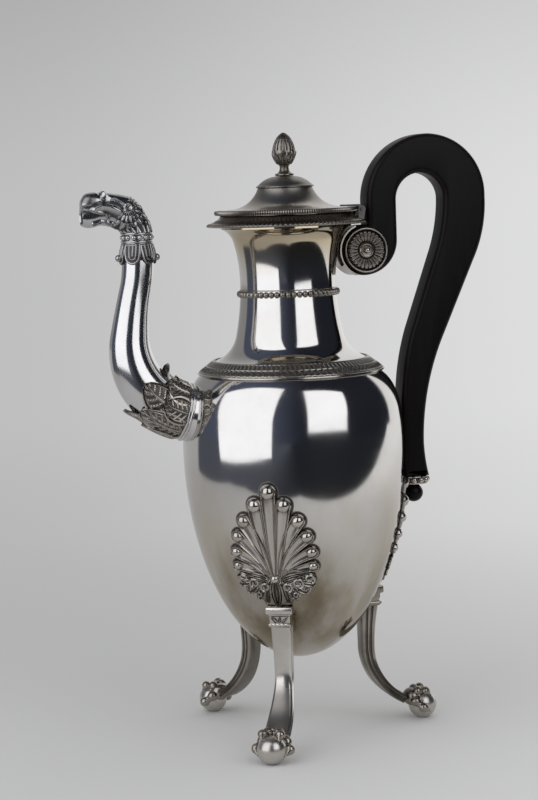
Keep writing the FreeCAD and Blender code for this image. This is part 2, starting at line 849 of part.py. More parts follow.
def make_spout_head():
    """Cast head: nape on the band, brow and open jaws over the mouth of the channel."""
    body = new_body("head_casting")
    loft(body, "head_skin", "AdditiveLoft", [
        head_section(body, "nape_low", 0.0, spout_tip_radius - 0.6, spout_tip_radius - 0.61),
        head_section(body, "nape", 6.0, 7.5, 7.7),
        head_section(body, "crown", 12.0, 8.0, 7.7),
        head_section(body, "cheek", 17.5, 7.9, 7.2),
        head_section(body, "brow", 24.0, 8.3, 6.5),
        head_section(body, "nose", 31.0, 8.5, 5.8),
        head_section(body, "lips", 36.0, 6.5, 5.2),
    ])
    doc.recompute()
    loft(body, "head_bore", "SubtractiveLoft", [
        head_section(body, "bore_low", 0.0, spout_tip_radius - 1.7, spout_tip_radius - 1.71),
        head_section(body, "bore_nape", 6.0, 6.0, 6.1),
        head_section(body, "bore_crown", 12.0, 6.0, 5.9),
        head_section(body, "bore_cheek", 17.5, 5.6, 5.2),
        head_section(body, "bore_brow", 24.0, 5.2, 4.4),
        head_section(body, "bore_nose", 31.0, 4.9, 4.0),
        head_section(body, "bore_lips", 36.0, 4.8, 3.9),
    ])
    features = [body]
    for side in (-1, 1):
        features.append(primitive("Ellipsoid", "brow_ridge", {"Radius1": 1.6, "Radius2": 4.6, "Radius3": 1.8},
                                  Placement(Vector(-97.0, side * 4.3, 290.2), Rotation(Y_AXIS, 12))))
        features.append(primitive("Ellipsoid", "nostril", {"Radius1": 1.7, "Radius2": 3.0, "Radius3": 1.7},
                                  Placement(Vector(-104.8, side * 2.6, 290.6), Rotation(Y_AXIS, -8))))
        features.append(primitive("Ellipsoid", "ear", {"Radius1": 3.2, "Radius2": 2.0, "Radius3": 1.3},
                                  Placement(Vector(-84.6, side * 7.0, 284.0), Rotation(Y_AXIS, 35))))
    return keep(fused("spout_head", features), "spout_head")


spout_calyx = make_spout_calyx()
spout_collar = make_spout_collar()
spout_bead_band = make_spout_bead_band()
spout_head = make_spout_head()


# Hinge between the lid and the rim

def make_hinge_pot_leaf():
    """Two lugs scribed to the rim, with the pin's hole through them."""
    lugs = new_body("hinge_lugs")
    pad_on(lugs, "lug", [
        (hinge_across + hinge_radius, hinge_height),
        (hinge_across, hinge_height + hinge_radius, hinge_radius),
        (hinge_across - hinge_radius, hinge_height, hinge_radius),
        (hinge_across - hinge_radius, rim_low + 1.0),
        (hinge_across + 0.8, rim_low + 1.0),
    ], hinge_half_length * 2)
    gap = new_sketch(lugs, "lug_gap", "YZ_Plane")
    outline(gap, [
        (-hinge_inner_half, rim_low),
        (hinge_inner_half, rim_low),
        (hinge_inner_half, hinge_height + 5),
        (-hinge_inner_half, hinge_height + 5),
    ])
    cut_through(lugs, gap, "lug_gap_cut", 120.0)
    hole = new_sketch(lugs, "lug_hole")
    circle(hole, hinge_across, hinge_height, hinge_pin_radius)
    cut_through(lugs, hole, "lug_hole_cut", hinge_half_length * 4)
    return keep(boolean("Cut", "hinge_pot_leaf", lugs, mouth_rim), "hinge_pot_leaf")


def make_hinge_lid_leaf():
    """Middle knuckle and the strap that holds it to the lid."""
    leaf = new_body("hinge_lid_leaf")
    seat = lid_top + 0.05
    strap_top = lid_top + 1.1
    pad_on(leaf, "leaf", [
        (strap_end, seat + 0.3),
        (lid_plate_radius, seat),
        (hinge_across - hinge_radius, seat),
        (hinge_across - hinge_radius, hinge_height),
        (hinge_across, hinge_height - hinge_radius, hinge_radius),
        (hinge_across + hinge_radius, hinge_height, hinge_radius),
        (hinge_across + 0.4, strap_top, 3.0),
        (strap_end, strap_top),
    ], (hinge_inner_half - 0.15) * 2)
    hole = new_sketch(leaf, "knuckle_hole")
    circle(hole, hinge_across, hinge_height, hinge_pin_radius + hinge_clearance)
    cut_through(leaf, hole, "knuckle_hole_cut", hinge_half_length * 4)
    return keep(leaf, "hinge_lid_leaf")


def rod_across(label, radius, half_length, across, height):
    """Round rod along Y through a point of the middle plane."""
    body = new_body(label)
    sketch = new_sketch(body, label + "_round")
    circle(sketch, across, height, radius)
    pad = body.newObject("PartDesign::Pad", label + "_pad")
    pad.Profile = sketch
    pad.SideType = "Symmetric"
    bind(pad, "Length", half_length * 2)
    return keep(body, label)


hinge_pot_leaf = make_hinge_pot_leaf()
hinge_lid_leaf = make_hinge_lid_leaf()
hinge_pin = rod_across("hinge_pin", hinge_pin_radius, hinge_half_length + 0.6, hinge_across, hinge_height)


# Handle

def handle_corners():
    """Outline of the bent wood, from the notch over the scroll round the crest and back to the scroll."""
    notch = math.sqrt(float(scroll_radius) ** 2 - (float(stem_left) - float(scroll_across)) ** 2)
    return [
        (stem_left, scroll_height + notch, -scroll_radius),
        (stem_left, crest_left_height),
        (crest_across, crest_top, -crest_left_bend),
        (crest_reach, crest_left_height, -crest_right_bend),
        (back_across, back_height, -back_bend),
        (waist_across, waist_level),
        (tail_waist_across, tail_waist_height, tail_bend),
        (tail_across + tail_half_width, tail_height, tail_flare_bend),
        (tail_across - tail_half_width, tail_height),
        (inner_across, inner_height),
        (66.3, waist_level + 2.8, -inner_bend),
        (80.5, back_height + 3.7),
        (loop_reach, crest_left_height - 1, 87.0),
        (loop_across, loop_height, loop_bend),
        (stem_right, crest_left_height, loop_bend),
        (stem_right, scroll_height - scroll_radius + scroll_outer_bend),
        (scroll_across, scroll_height - scroll_radius, -scroll_outer_bend),
        (scroll_across - scroll_radius, scroll_height, -scroll_radius),
    ]


def make_handle_grip():
    body = new_body("handle_grip")
    pad = pad_on(body, "grip", handle_corners(), handle_thickness)
    doc.recompute()
    half = float(handle_thickness) / 2
    rims = []
    for number, edge in enumerate(pad.Shape.Edges):
        box = edge.BoundBox
        if abs(box.YMin - box.YMax) < 0.01 and abs(abs(box.YMin) - half) < 0.01:
            rims.append("Edge%d" % (number + 1))
    fillet = body.newObject("PartDesign::Fillet", "grip_rounding")
    fillet.Base = (pad, rims)
    bind(fillet, "Radius", handle_edge)
    doc.recompute()
    tenon = new_sketch(body, "tenon_round", "XY_Plane")
    circle(tenon, tail_across, 0, tail_radius)
    tenon.setExpression("AttachmentOffset.Base.z", tail_ring_low.formula)
    peg = body.newObject("PartDesign::Pad", "tenon")
    peg.Profile = tenon
    bind(peg, "Length", tail_height - tail_ring_low + 1)
    for name, across, height, radius in (
            ("rivet_hole", scroll_across, scroll_height, rivet_radius),
            ("pin_hole", tail_across, tail_ring_low + 2.0, 0.8)):
        hole = new_sketch(body, name)
        circle(hole, across, height, radius)
        cut_through(body, hole, name + "_cut", 60.0)
    return keep(body, "handle_grip")


handle_grip = make_handle_grip()


# Fittings of the handle

def make_handle_socket():
    """Half drum round the scroll with a foot scribed to the neck."""
    drum = new_body("socket_drum")
    outer = scroll_radius + socket_thickness
    inner = scroll_radius + 0.02
    opening = math.radians(112)
    cosine = math.cos(opening)
    sine = math.sin(opening)
    pad_on(drum, "drum", [
        (scroll_across + outer * cosine, scroll_height + outer * sine),
        (scroll_across + outer * cosine, scroll_height - outer * sine, outer),
        (scroll_across + inner * cosine, scroll_height - inner * sine),
        (scroll_across + inner * cosine, scroll_height + inner * sine, -inner),
    ], handle_thickness + 0.8)
    foot = new_body("socket_foot")
    pad_on(foot, "foot", [
        (throat_radius - 6, scroll_height - 8.5),
        (scroll_across - scroll_radius * 0.8, scroll_height - 8.0),
        (scroll_across - scroll_radius * 0.8, scroll_height + 6.0),
        (throat_radius - 6, scroll_height + 7.0),
    ], handle_thickness * 0.6)
    scroll = primitive("Cylinder", "scroll_form", {"Radius": inner, "Height": 40.0})
    scroll.Placement = Placement(Vector(0, 20, 0), Rotation(X_AXIS, 90))
    scroll.setExpression("Placement.Base.x", scroll_across.formula)
    scroll.setExpression("Placement.Base.z", scroll_height.formula)
    neck_form = turned("neck_form", neck_corners()[2:8] + [(0, rim_low), (0, neck_foot_height)])
    blank = boolean("Cut", "socket_opened", fused("socket_blank", [drum, foot]), scroll)
    return keep(boolean("Cut", "handle_socket", blank, neck_form), "handle_socket")


def make_rosette(label, side):
    """Dished boss with petals and a raised rim, lying on one face of the scroll."""
    body = turned(label, [
        (rivet_radius, 0),
        (rosette_radius, 0),
        (rosette_radius, rosette_thickness * 0.5),
        (rosette_radius - 1.2, rosette_thickness * 0.75, 0.9),
        (rosette_radius - 2.0, rosette_thickness * 0.6),
        (4.6, rosette_thickness * 0.55, -26.0),
        (4.2, rosette_thickness * 0.9),
        (rivet_radius, rosette_thickness * 1.35, 4.0),
    ])
    groove = new_sketch(body, "petal_groove", "XY_Plane")
    groove.setExpression("AttachmentOffset.Base.z", (rosette_thickness * 0.3).formula)
    inner_end = 5.4
    outer_end = rosette_radius - 1.9
    outline(groove, [
        (inner_end, groove_radius * -0.4),
        (outer_end, groove_radius * -0.8),
        (outer_end, groove_radius * 0.8),
        (inner_end, groove_radius * 0.4),
    ])
    pocket = body.newObject("PartDesign::Pocket", "petal_groove_cut")
    pocket.Profile = groove
    pocket.Reversed = True
    bind(pocket, "Length", rosette_thickness)
    spin_pattern(body, "petal_grooves", pocket, rosette_petals)
    place(body, scroll_across, handle_thickness * (side * 0.5), scroll_height, Rotation(X_AXIS, -90 * side))
    return keep(body, label)


def make_handle_ring():
    """Collar with a row of beads round the wood's lower end."""
    height = tail_height - tail_ring_low
    ring = turned("tail_ring_collar", [
        (tail_radius - 1, 0),
        (tail_ring_radius - 1.2, 0),
        (tail_ring_radius - 1.2, height - 0.05),
        (tail_radius - 1, height - 0.05),
    ])
    beads = bead_circle("tail_bead", 12, tail_ring_radius - 1.1, 1.75, height / 2)
    cluster = fused("tail_ring_cluster", [ring] + beads)
    core = primitive("Cylinder", "tail_ring_core", {"Radius": tail_radius + 0.02, "Height": 10.0})
    place(core, 0, 0, -3.0)
    ring = boolean("Cut", "tail_ring_opened", cluster, core)
    place(ring, tail_across, 0, tail_ring_low)
    hole = primitive("Cylinder", "tail_pin_hole", {"Radius": 0.8, "Height": 40.0})
    hole.Placement = Placement(Vector(float(tail_across), 20, float(tail_ring_low) + 2), Rotation(X_AXIS, 90))
    return keep(boolean("Cut", "handle_ring", ring, hole), "handle_ring")


def make_handle_bracket():
    """Saddle between the ring and the body."""
    saddle = new_body("saddle")
    pad_on(saddle, "saddle", [
        (body_radius - 6, tail_ring_low - 2.6),
        (tail_across - 4, tail_ring_low + 0.3),
        (tail_across - 4, tail_height - 0.4),
        (body_radius - 6, tail_height + 2.0),
    ], 9.0)
    room = primitive("Cylinder", "saddle_room", {"Radius": tail_ring_radius + 0.7, "Height": 40.0})
    place(room, tail_across, 0, tail_ring_low - 20)
    return keep(boolean("Cut", "handle_bracket", boolean("Cut", "saddle_opened", saddle, room), body_form),
                "handle_bracket")


handle_socket = make_handle_socket()
rosette_front = make_rosette("rosette_front", -1)
rosette_back = make_rosette("rosette_back", 1)
rosette_rivet = rod_across("rosette_rivet", rivet_radius, handle_thickness / 2 + rosette_thickness * 1.6,
                           scroll_across, scroll_height)
handle_ring = make_handle_ring()
handle_bracket = make_handle_bracket()
handle_pin = rod_across("handle_pin", as_size(0.8), tail_ring_radius + 0.4, tail_across, tail_ring_low + 2.0)

handle_drop = turned("handle_drop", [
    (0, drop_height - drop_radius),
    (drop_radius, drop_height, drop_radius),
    (2.6, drop_height + 4.2, drop_radius + 0.2),
    (3.4, tail_ring_low),
    (0, tail_ring_low),
])
place(handle_drop, tail_across, 0, 0)
keep(handle_drop, "handle_drop")


# Legs: each piece is made on the handle side and copied round the pot by thirds

LEG_NAMES = ("handle", "front", "back")
LEG_ANGLES = (0, -120, 120)


def three_legs(source, name, first=None):
    """Keep the handle side piece, or a trimmed one in its place, and turn copies to the other two legs."""
    keep(first or source, "%s_%s" % (name, LEG_NAMES[0]))
    doc.recompute()
    for leg, angle in list(zip(LEG_NAMES, LEG_ANGLES))[1:]:
        copy = doc.addObject("Part::Feature", "%s_%s" % (name, leg))
        copy.Shape = source.Shape.copy()
        copy.Placement = Placement(ORIGIN, Rotation(Z_AXIS, angle)).multiply(source.Placement)
        keep(copy, "%s_%s" % (name, leg))


def make_leg_strut():
    """Flat bent leg: a side outline padded, waisted from the front and scribed to the body."""
    strut = new_body("strut_blank")
    outer_face = leg_centre_reach - leg_outer_bend
    inner_bend = leg_outer_bend + leg_thickness
    inner_face = leg_centre_reach - inner_bend
    foot = math.radians(242)
    cosine = math.cos(foot)
    sine = math.sin(foot)
    pad_on(strut, "strut", [
        (inner_face, leg_centre_height),
        (leg_centre_reach + inner_bend * cosine, leg_centre_height + inner_bend * sine, inner_bend),
        (leg_centre_reach + leg_outer_bend * cosine, leg_centre_height + leg_outer_bend * sine),
        (outer_face, leg_centre_height, -leg_outer_bend),
        (outer_face + 2.4, leg_top, -110.0),
        (inner_face, leg_top),
    ], 20.0)
    for side in (-1, 1):
        waste = new_sketch(strut, "waste_%d" % (side + 1), "YZ_Plane")
        bend = 90.0 * side
        outline(waste, [
            (leg_half_width * (side * 1.12), leg_top + 1),
            (leg_half_width * side, leg_centre_height - 4, bend * 2),
            (leg_half_width * (side * 1.4), 16.0, bend),
            (leg_half_width * (side * 1.4), -4.0),
            (leg_half_width * (side * 3), -4.0),
            (leg_half_width * (side * 3), leg_top + 1),
        ])
        cut_through(strut, waste, "waste_cut_%d" % (side + 1), 240.0)
    return boolean("Cut", "leg_strut", strut, body_form)


def make_leg_capital():
    """Square abacus over a narrower moulded block, scribed to the body."""
    block = new_body("capital_block")
    face = leg_centre_reach - leg_outer_bend
    pad_on(block, "abacus", [
        (30.0, capital_low),
        (face + 5.2, capital_low),
        (face + 5.8, capital_top - 0.8),
        (face + 5.2, capital_top),
        (30.0, capital_top),
    ], capital_width)
    pad_on(block, "necking", [
        (30.0, leg_top),
        (face + 3.2, leg_top),
        (face + 4.4, leg_top + 3.2, 2.6),
        (face + 3.6, capital_low, 9.0),
        (30.0, capital_low),
    ], capital_width * 0.82)
    return boolean("Cut", "leg_capital", block, body_form)


def palmette_tip(lobe):
    """Centre of a lobe's tip, across and up, on a fan whose lengths shrink steadily."""
    angle = math.radians(lobe * palmette_lobe_angle)
    length = palmette_length * palmette_lobe_shrink ** abs(lobe)
    return length * math.sin(angle), palmette_hub + length * math.cos(angle)


def skin_point(across, height, proud):
    """Point of the body's skin on the handle side, at a place seen from there."""
    drop = (float(height) - float(body_mid)) / (float(body_mid) - float(body_low))
    radius = (float(body_radius) + proud) * math.sqrt(1 - drop ** 2)
    return Vector(math.sqrt(radius ** 2 - float(across) ** 2), float(across), float(height))


def fan_wedge(name, angle, start, finish, start_width, finish_width):
    """Tapering bar through the fan, at an angle from its upright and between two distances from its hub."""
    outside = body_radius + 10
    wedge = primitive("Wedge", name, {
        "Ymin": start, "Xmin": 0.0, "Xmax": outside, "Zmin": -start_width, "Zmax": start_width,
        "Ymax": finish, "X2min": 0.0, "X2max": outside, "Z2min": -finish_width, "Z2max": finish_width,
    })
    wedge.Placement = Placement(Vector(0, 0, float(palmette_hub)), Rotation(X_AXIS, 90 - angle))
    return wedge


def make_flutes(lobes):
    """Hollow flute along each lobe and a narrow groove between neighbours, to one depth under the skin."""
    bars = []
    flute_start = 8.0
    narrow = 0.15
    for lobe in lobes:
        length = float(palmette_length) * palmette_lobe_shrink ** abs(lobe)
        bead = float(palmette_bead) * palmette_bead_shrink ** abs(lobe)
        angle = lobe * palmette_lobe_angle
        wide = bead * length / 52
        bars.append(fan_wedge("flute", angle, flute_start, length - bead * 1.25, narrow * 2, wide))
        if lobe < palmette_side_lobes:
            gap = length * palmette_lobe_shrink ** math.copysign(0.5, lobe)
            halfway = angle + palmette_lobe_angle / 2
            bars.append(fan_wedge("lobe_gap", halfway, gap * 0.45, gap * 0.94, narrow, narrow * 3.6))
    floor = solid_egg("flute_floor", palmette_thickness - flute_depth)
    return boolean("Cut", "palmette_flutes", fused("flute_bars", bars), floor)


def make_palmette():
    """Shell-shaped leaf: scalloped outline, hollow flutes, beads at the lobe tips, wrapped on the body."""
    lobes = range(-palmette_side_lobes, palmette_side_lobes + 1)
    blank = new_body("palmette_blank")
    sketch = new_sketch(blank, "palmette_outline", "YZ_Plane")
    low = capital_top
    foot = [(-7.0, low), (7.0, low), (12.5, low + 4.4), (19.5, low + 9.8), (22.4, palmette_hub)]
    corners = foot + [palmette_tip(lobe) for lobe in reversed(lobes)] + [(-22.4, palmette_hub)]
    corners += [(-19.5, low + 9.8), (-12.5, low + 4.4)]
    outline(sketch, corners)
    pad = blank.newObject("PartDesign::Pad", "palmette_pad")
    pad.Profile = sketch
    bind(pad, "Length", body_radius + 10)
    tips = []
    beads = []
    for lobe in lobes:
        across, height = palmette_tip(lobe)
        radius = palmette_bead * palmette_bead_shrink ** abs(lobe)
        tip = primitive("Cylinder", "lobe_tip", {"Radius": radius * 1.72, "Height": body_radius + 10})
        tip.Placement = Placement(Vector(0, float(across), float(height)), Rotation(Y_AXIS, 90))
        tips.append(tip)
        spot = skin_point(float(across), float(height), float(palmette_thickness) * 0.8)
        bead = primitive("Sphere", "lobe_bead", {"Radius": radius})
        bead.Placement = Placement(spot, Rotation())
        beads.append(bead)
    skin = solid_egg("palmette_skin", palmette_thickness)
    plate = boolean("Common", "palmette_plate", fused("palmette_fan", [blank] + tips), skin)
    plate = boolean("Cut", "palmette_fluted", plate, make_flutes(lobes))
    return boolean("Cut", "palmette", fused("palmette_beaded", [plate] + beads), body_form)


def make_tail_room():
    """Space of the handle's lower end, its ring and its saddle."""
    ring = primitive("Cylinder", "ring_room", {"Radius": tail_ring_radius + 0.9, "Height": 6.0})
    place(ring, tail_across, 0, tail_ring_low - 0.8)
    saddle = primitive("Box", "saddle_slot", {"Length": 30.0, "Width": 10.4, "Height": 30.0})
    place(saddle, 45.0, -5.2, tail_ring_low - 2.8)
    wood = primitive("Box", "wood_room", {"Length": 30.0, "Width": handle_thickness + 0.8, "Height": 30.0})
    place(wood, inner_across - 0.4, -(handle_thickness / 2 + 0.4), tail_height - 0.4)
    return fused("tail_room", [ring, saddle, wood])


def make_foot_ball():
    """Ball with a small flat where it stands."""
    flat = math.sqrt(float(foot_ball_radius) ** 2 - float(foot_ball_height) ** 2)
    ball = turned("foot_ball", [
        (0, 0),
        (flat, 0),
        (foot_ball_radius, foot_ball_height, foot_ball_radius),
        (0, foot_ball_height + foot_ball_radius, foot_ball_radius),
    ])
    place(ball, foot_reach, 0, 0)
    return ball


def make_foot_claw(ball):
    """Talons with two swollen joints each, round the ball, from a knuckle on the end of the leg."""
    centre = Vector(float(foot_reach), 0, float(foot_ball_height))
    toe_bend = foot_ball_radius + 0.7
    reach = Vector(-0.80, 0, 0.60)
    flank = Vector(0, 1, 0)
    front = flank.cross(reach)
    talons = []
    for number, (angle, sweep) in enumerate(((100, 105), (-100, 105), (38, 78), (-38, 78))):
        turn = math.radians(angle)
        outward = front * math.cos(turn) + flank * math.sin(turn)
        sizes = {"Radius1": toe_bend, "Radius2": foot_ball_radius * 0.2, "Angle3": float(sweep)}
        frame = Placement(square_frame(reach, outward, centre))
        talons.append(primitive("Torus", "talon_%d" % number, sizes, frame))
        for share, swelling in ((0.42, 0.29), (0.74, 0.25)):
            bend = math.radians(sweep * share)
            spot = centre + (reach * math.cos(bend) + outward * math.sin(bend)) * float(toe_bend)
            joint = primitive("Sphere", "toe_joint", {"Radius": foot_ball_radius * swelling})
            joint.Placement = Placement(spot, Rotation(X_AXIS, outward * -1))
            talons.append(joint)
    knuckle = primitive("Sphere", "claw_knuckle", {"Radius": foot_ball_radius * 0.62})
    knuckle.Placement = Placement(centre + reach * (float(foot_ball_radius) * 1.0), Rotation())
    strut_room = make_strut_room()
    claw = boolean("Cut", "claw_on_ball", fused("claw_cluster", talons + [knuckle]), ball)
    return boolean("Cut", "foot_claw", claw, strut_room)


def make_strut_room():
    """Space of the leg's end, so that the claw butts against it."""
    foot = math.radians(242)
    tangent = Vector(-math.sin(foot), 0, math.cos(foot))
    middle = float(leg_outer_bend) + float(leg_thickness) / 2
    end = Vector(float(leg_centre_reach) + middle * math.cos(foot), 0,
                 float(leg_centre_height) + middle * math.sin(foot))
    room = primitive("Box", "strut_room", {"Length": 40.0, "Width": 40.0, "Height": 40.0})
    turn = Rotation(X_AXIS, tangent)
    room.Placement = Placement(end, turn).multiply(Placement(Vector(-40, -20, -20), Rotation()))
    return room


foot_ball = make_foot_ball()
palmette = make_palmette()
three_legs(palmette, "palmette", boolean("Cut", "palmette_notched", palmette, make_tail_room()))
three_legs(make_leg_capital(), "leg_capital")
three_legs(make_leg_strut(), "leg_strut")
three_legs(make_foot_claw(foot_ball), "foot_claw")
three_legs(foot_ball, "foot_ball")


# Checks and export

def export_all():
    doc.recompute()
    for thing in doc.Objects:
        if "Invalid" in thing.State or "Error" in thing.State:
            raise RuntimeError("%s did not build: %s" % (thing.Label, thing.State))
    for piece in pieces:
        if piece.Shape.isNull() or not piece.Shape.isValid():
            raise RuntimeError("%s is not a valid shape" % piece.Label)
    os.makedirs("parts", exist_ok=True)
    for piece in pieces:
        piece.Shape.exportStep(os.path.join("parts", piece.Label + ".step"))
        print("%-20s solids %d volume %10.1f" % (piece.Label, len(piece.Shape.Solids), piece.Shape.Volume))


export_all()
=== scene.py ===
from math import atan2, copysign, cos, exp, hypot, pi, radians, sin, sqrt, tau

import bmesh
import bpy
from mathutils import Matrix, Vector


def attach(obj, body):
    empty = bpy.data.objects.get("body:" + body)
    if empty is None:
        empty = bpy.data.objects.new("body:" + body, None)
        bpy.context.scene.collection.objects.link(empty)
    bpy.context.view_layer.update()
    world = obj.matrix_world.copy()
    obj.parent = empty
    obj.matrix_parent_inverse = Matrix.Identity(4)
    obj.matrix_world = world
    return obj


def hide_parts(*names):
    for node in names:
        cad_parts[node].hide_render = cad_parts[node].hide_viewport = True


# Silver coffee pot with an animal head spout, a wooden scroll handle and claw and ball feet.
# Shapes are written in millimetres in the frame of the solids and scaled to metres at the end.
# The origin is on the table under the pot's axis, +X points to the handle and +Z up.

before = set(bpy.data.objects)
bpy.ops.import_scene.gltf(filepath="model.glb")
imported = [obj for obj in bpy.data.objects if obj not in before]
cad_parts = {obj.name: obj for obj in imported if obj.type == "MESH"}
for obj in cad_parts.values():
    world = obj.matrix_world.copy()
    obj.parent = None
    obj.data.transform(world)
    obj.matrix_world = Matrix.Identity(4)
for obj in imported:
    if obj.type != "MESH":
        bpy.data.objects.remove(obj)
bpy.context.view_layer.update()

MM = 0.001
UP = Vector((0, 0, 1))
SIDE = Vector((0, 1, 0))


# Small curve tools

def smooth_step(low, high, value):
    share = min(max((value - low) / (high - low), 0.0), 1.0)
    return share * share * (3 - 2 * share)


def bump(value, centre, width):
    """Bell of height one."""
    return exp(-((value - centre) / width) ** 2)


def mix(a, b, share):
    return a + (b - a) * share


def spread(low, high, count):
    return [mix(low, high, step / (count - 1)) for step in range(count)]


def angles_round(count, offset=0.0):
    """Even angles round a full turn, moved on by a share of one step."""
    return [tau * (step + offset) / count for step in range(count)]


def round_spot(radius, angle, height=0.0):
    return Vector((radius * cos(angle), radius * sin(angle), height))


def side_ray(degrees):
    """Unit vector in the XZ plane."""
    angle = radians(degrees)
    return Vector((cos(angle), 0, sin(angle)))


def headings(points):
    """Unit direction at each point of a path."""
    last = len(points) - 1
    return [(points[min(n + 1, last)] - points[max(n - 1, 0)]).normalized() for n in range(last + 1)]


def arc_points(start, finish, bend, spacing):
    """Points of an arc after its start: a positive radius turns left on the way, a negative one right."""
    chord = finish - start
    radius = abs(bend)
    side = Vector((-chord.y, chord.x)).normalized()
    rise = sqrt(max(radius ** 2 - (chord.length / 2) ** 2, 0))
    centre = (start + finish) / 2 + side * copysign(rise, bend)
    first = atan2(start.y - centre.y, start.x - centre.x)
    last = atan2(finish.y - centre.y, finish.x - centre.x)
    if bend > 0 and last < first:
        last += tau
    if bend < 0 and last > first:
        last -= tau
    count = max(3, int(abs(last - first) * radius / spacing))
    angles = [mix(first, last, step / count) for step in range(1, count + 1)]
    return [centre + Vector((cos(angle), sin(angle))) * radius for angle in angles]


def run(corners, spacing=0.8):
    """Outline through corners (across, height), each reached by a line or, with a third value, by an arc."""
    points = [Vector(corners[0][:2])]
    for corner in corners[1:]:
        finish = Vector(corner[:2])
        if len(corner) == 3:
            points += arc_points(points[-1], finish, corner[2], spacing)
        else:
            points.append(finish)
    return points


def along(start, heading, arcs, distance):
    """Point and heading in degrees at a distance along tangent arcs in the XZ plane."""
    point = Vector(start)
    for radius, turn in arcs:
        length = radius * radians(abs(turn))
        part = min(1.0, distance / length)
        step = turn * part
        chord = 2 * radius * sin(radians(abs(step)) / 2)
        point = point + side_ray(heading + step / 2) * chord
        heading += step
        distance -= length * part
        if part < 1.0:
            return point, heading
    return point + side_ray(heading) * distance, heading


def bezier(points, share):
    """Point of a Bezier curve of any order."""
    points = [Vector(point) for point in points]
    while len(points) > 1:
        points = [first.lerp(second, share) for first, second in zip(points, points[1:])]
    return points[0]


# Mesh building

SUNK = -0.5  # height of a leaf's outer edge, let into what carries it
WELD = 0.002 * MM
TIP_STEPS = 11


def link_object(name, data):
    thing = bpy.data.objects.new(name, data)
    bpy.context.scene.collection.objects.link(thing)
    return thing


class Shape:
    """Collects points in millimetres, each with a share of dark patina, and faces."""

    def __init__(self):
        self.points = []
        self.patina = []
        self.faces = []

    def add(self, point, patina):
        self.points.append(Vector(point))
        self.patina.append(patina)
        return len(self.points) - 1

    def grid(self, rows, wrap=False):
        """Quads between rows of (point, patina). Rows are closed on themselves if wrap is set."""
        numbers = [[self.add(point, patina) for point, patina in row] for row in rows]
        for lower, upper in zip(numbers, numbers[1:]):
            count = len(lower)
            for step in range(count if wrap else count - 1):
                after = (step + 1) % count
                self.faces.append((lower[step], lower[after], upper[after], upper[step]))
        return numbers

    def prism(self, rows):
        """Closed rows with both ends filled."""
        numbers = self.grid(rows, wrap=True)
        self.faces.append(tuple(reversed(numbers[0])))
        self.faces.append(tuple(numbers[-1]))

    def bead(self, centre, radius, patina=0.0, stretch=None, rows=10, columns=16):
        """Ball, or an egg stretched along a vector."""
        axis = stretch.normalized() if stretch else UP
        factor = stretch.length if stretch else 1.0
        turn = UP.rotation_difference(axis)
        rings = []
        for row in range(rows + 1):
            polar = pi * row / rows
            level = cos(polar) * factor
            ring = [round_spot(sin(polar), angle, level) for angle in angles_round(columns)]
            rings.append([(centre + turn @ (spot * radius), patina) for spot in ring])
        self.grid(rings, wrap=True)

    def lathe(self, outline, segments, ripple=None, patina=None, place=None):
        """Turn an outline about the upright axis. A ripple gives out, up and patina at an angle and point."""
        rows = []
        for point in outline:
            row = []
            for angle in angles_round(segments):
                out, lift, dark = ripple(angle, point) if ripple else (0.0, 0.0, 0.0)
                if patina:
                    dark = max(dark, patina(point))
                spot = round_spot(point.x + out, angle, point.y + lift)
                row.append((place(spot) if place else spot, dark))
            rows.append(row)
        self.grid(rows, wrap=True)

    def tube(self, path, radii, columns, patina=0.0):
        """Round tube along points, with a radius for each point."""
        rows = []
        side = None
        for point, radius, tangent in zip(path, radii, headings(path)):
            if side is None:
                side = tangent.orthogonal().normalized()
            side = (side - tangent * side.dot(tangent)).normalized()
            other = tangent.cross(side)
            rays = [side * cos(angle) + other * sin(angle) for angle in angles_round(columns)]
            rows.append([(point + ray * radius, patina) for ray in rays])
        self.prism(rows)

    def petal(self, spine, half_width, relief, place, round_tip=True, along_count=18, across_count=9):
        """Leaf along a flat spine. Relief gives (height, patina) for a share across and a share along."""
        shares = spread(0.0, 1.0, along_count)
        spots = [Vector(spine(share)) for share in shares]
        tangents = headings(spots)
        normals = [Vector((-tangent.y, tangent.x)) for tangent in tangents]
        rows = []
        for share_across in spread(0.0, 1.0, across_count) + [1.0]:
            left = []
            right = []
            for spot, normal, share in zip(spots, normals, shares):
                height, dark = relief(share_across, share)
                offset = normal * half_width(share) * share_across
                left.append((spot + offset, height, dark))
                right.append((spot - offset, height, dark))
            tip = []
            if round_tip:
                height, dark = relief(share_across, 1.0)
                reach = half_width(1.0) * share_across
                for angle in spread(pi / 2, -pi / 2, TIP_STEPS)[1:-1]:
                    offset = tangents[-1] * cos(angle) + normals[-1] * sin(angle)
                    tip.append((spots[-1] + offset * reach, height, dark))
            rows.append(left + tip + right[::-1])
        # The sunk outer edge is fully dark, so each leaf's side wall shows as a painted shadow line.
        rows[-1] = [(spot, SUNK, 1.0) for spot, height, dark in rows[-1]]
        self.grid([[(place(spot.x, spot.y, height), dark) for spot, height, dark in row] for row in rows])

    def finish(self, name, material, body, nodes, sharp=40.0):
        """Make the object, let it ride on a body and stand for solids."""
        mesh = bpy.data.meshes.new(name)
        mesh.from_pydata([point * MM for point in self.points], [], self.faces)
        layer = mesh.attributes.new("patina", "FLOAT", "POINT")
        layer.data.foreach_set("value", self.patina)
        work = bmesh.new()
        work.from_mesh(mesh)
        bmesh.ops.remove_doubles(work, verts=work.verts, dist=WELD)
        bmesh.ops.recalc_face_normals(work, faces=work.faces)
        limit = radians(sharp)
        for face in work.faces:
            face.smooth = True
        for edge in work.edges:
            if len(edge.link_faces) == 2 and edge.calc_face_angle(0.0) > limit:
                edge.smooth = False
        work.to_mesh(mesh)
        work.free()
        mesh.materials.append(material)
        thing = link_object(name, mesh)
        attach(thing, body)
        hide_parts(*nodes)


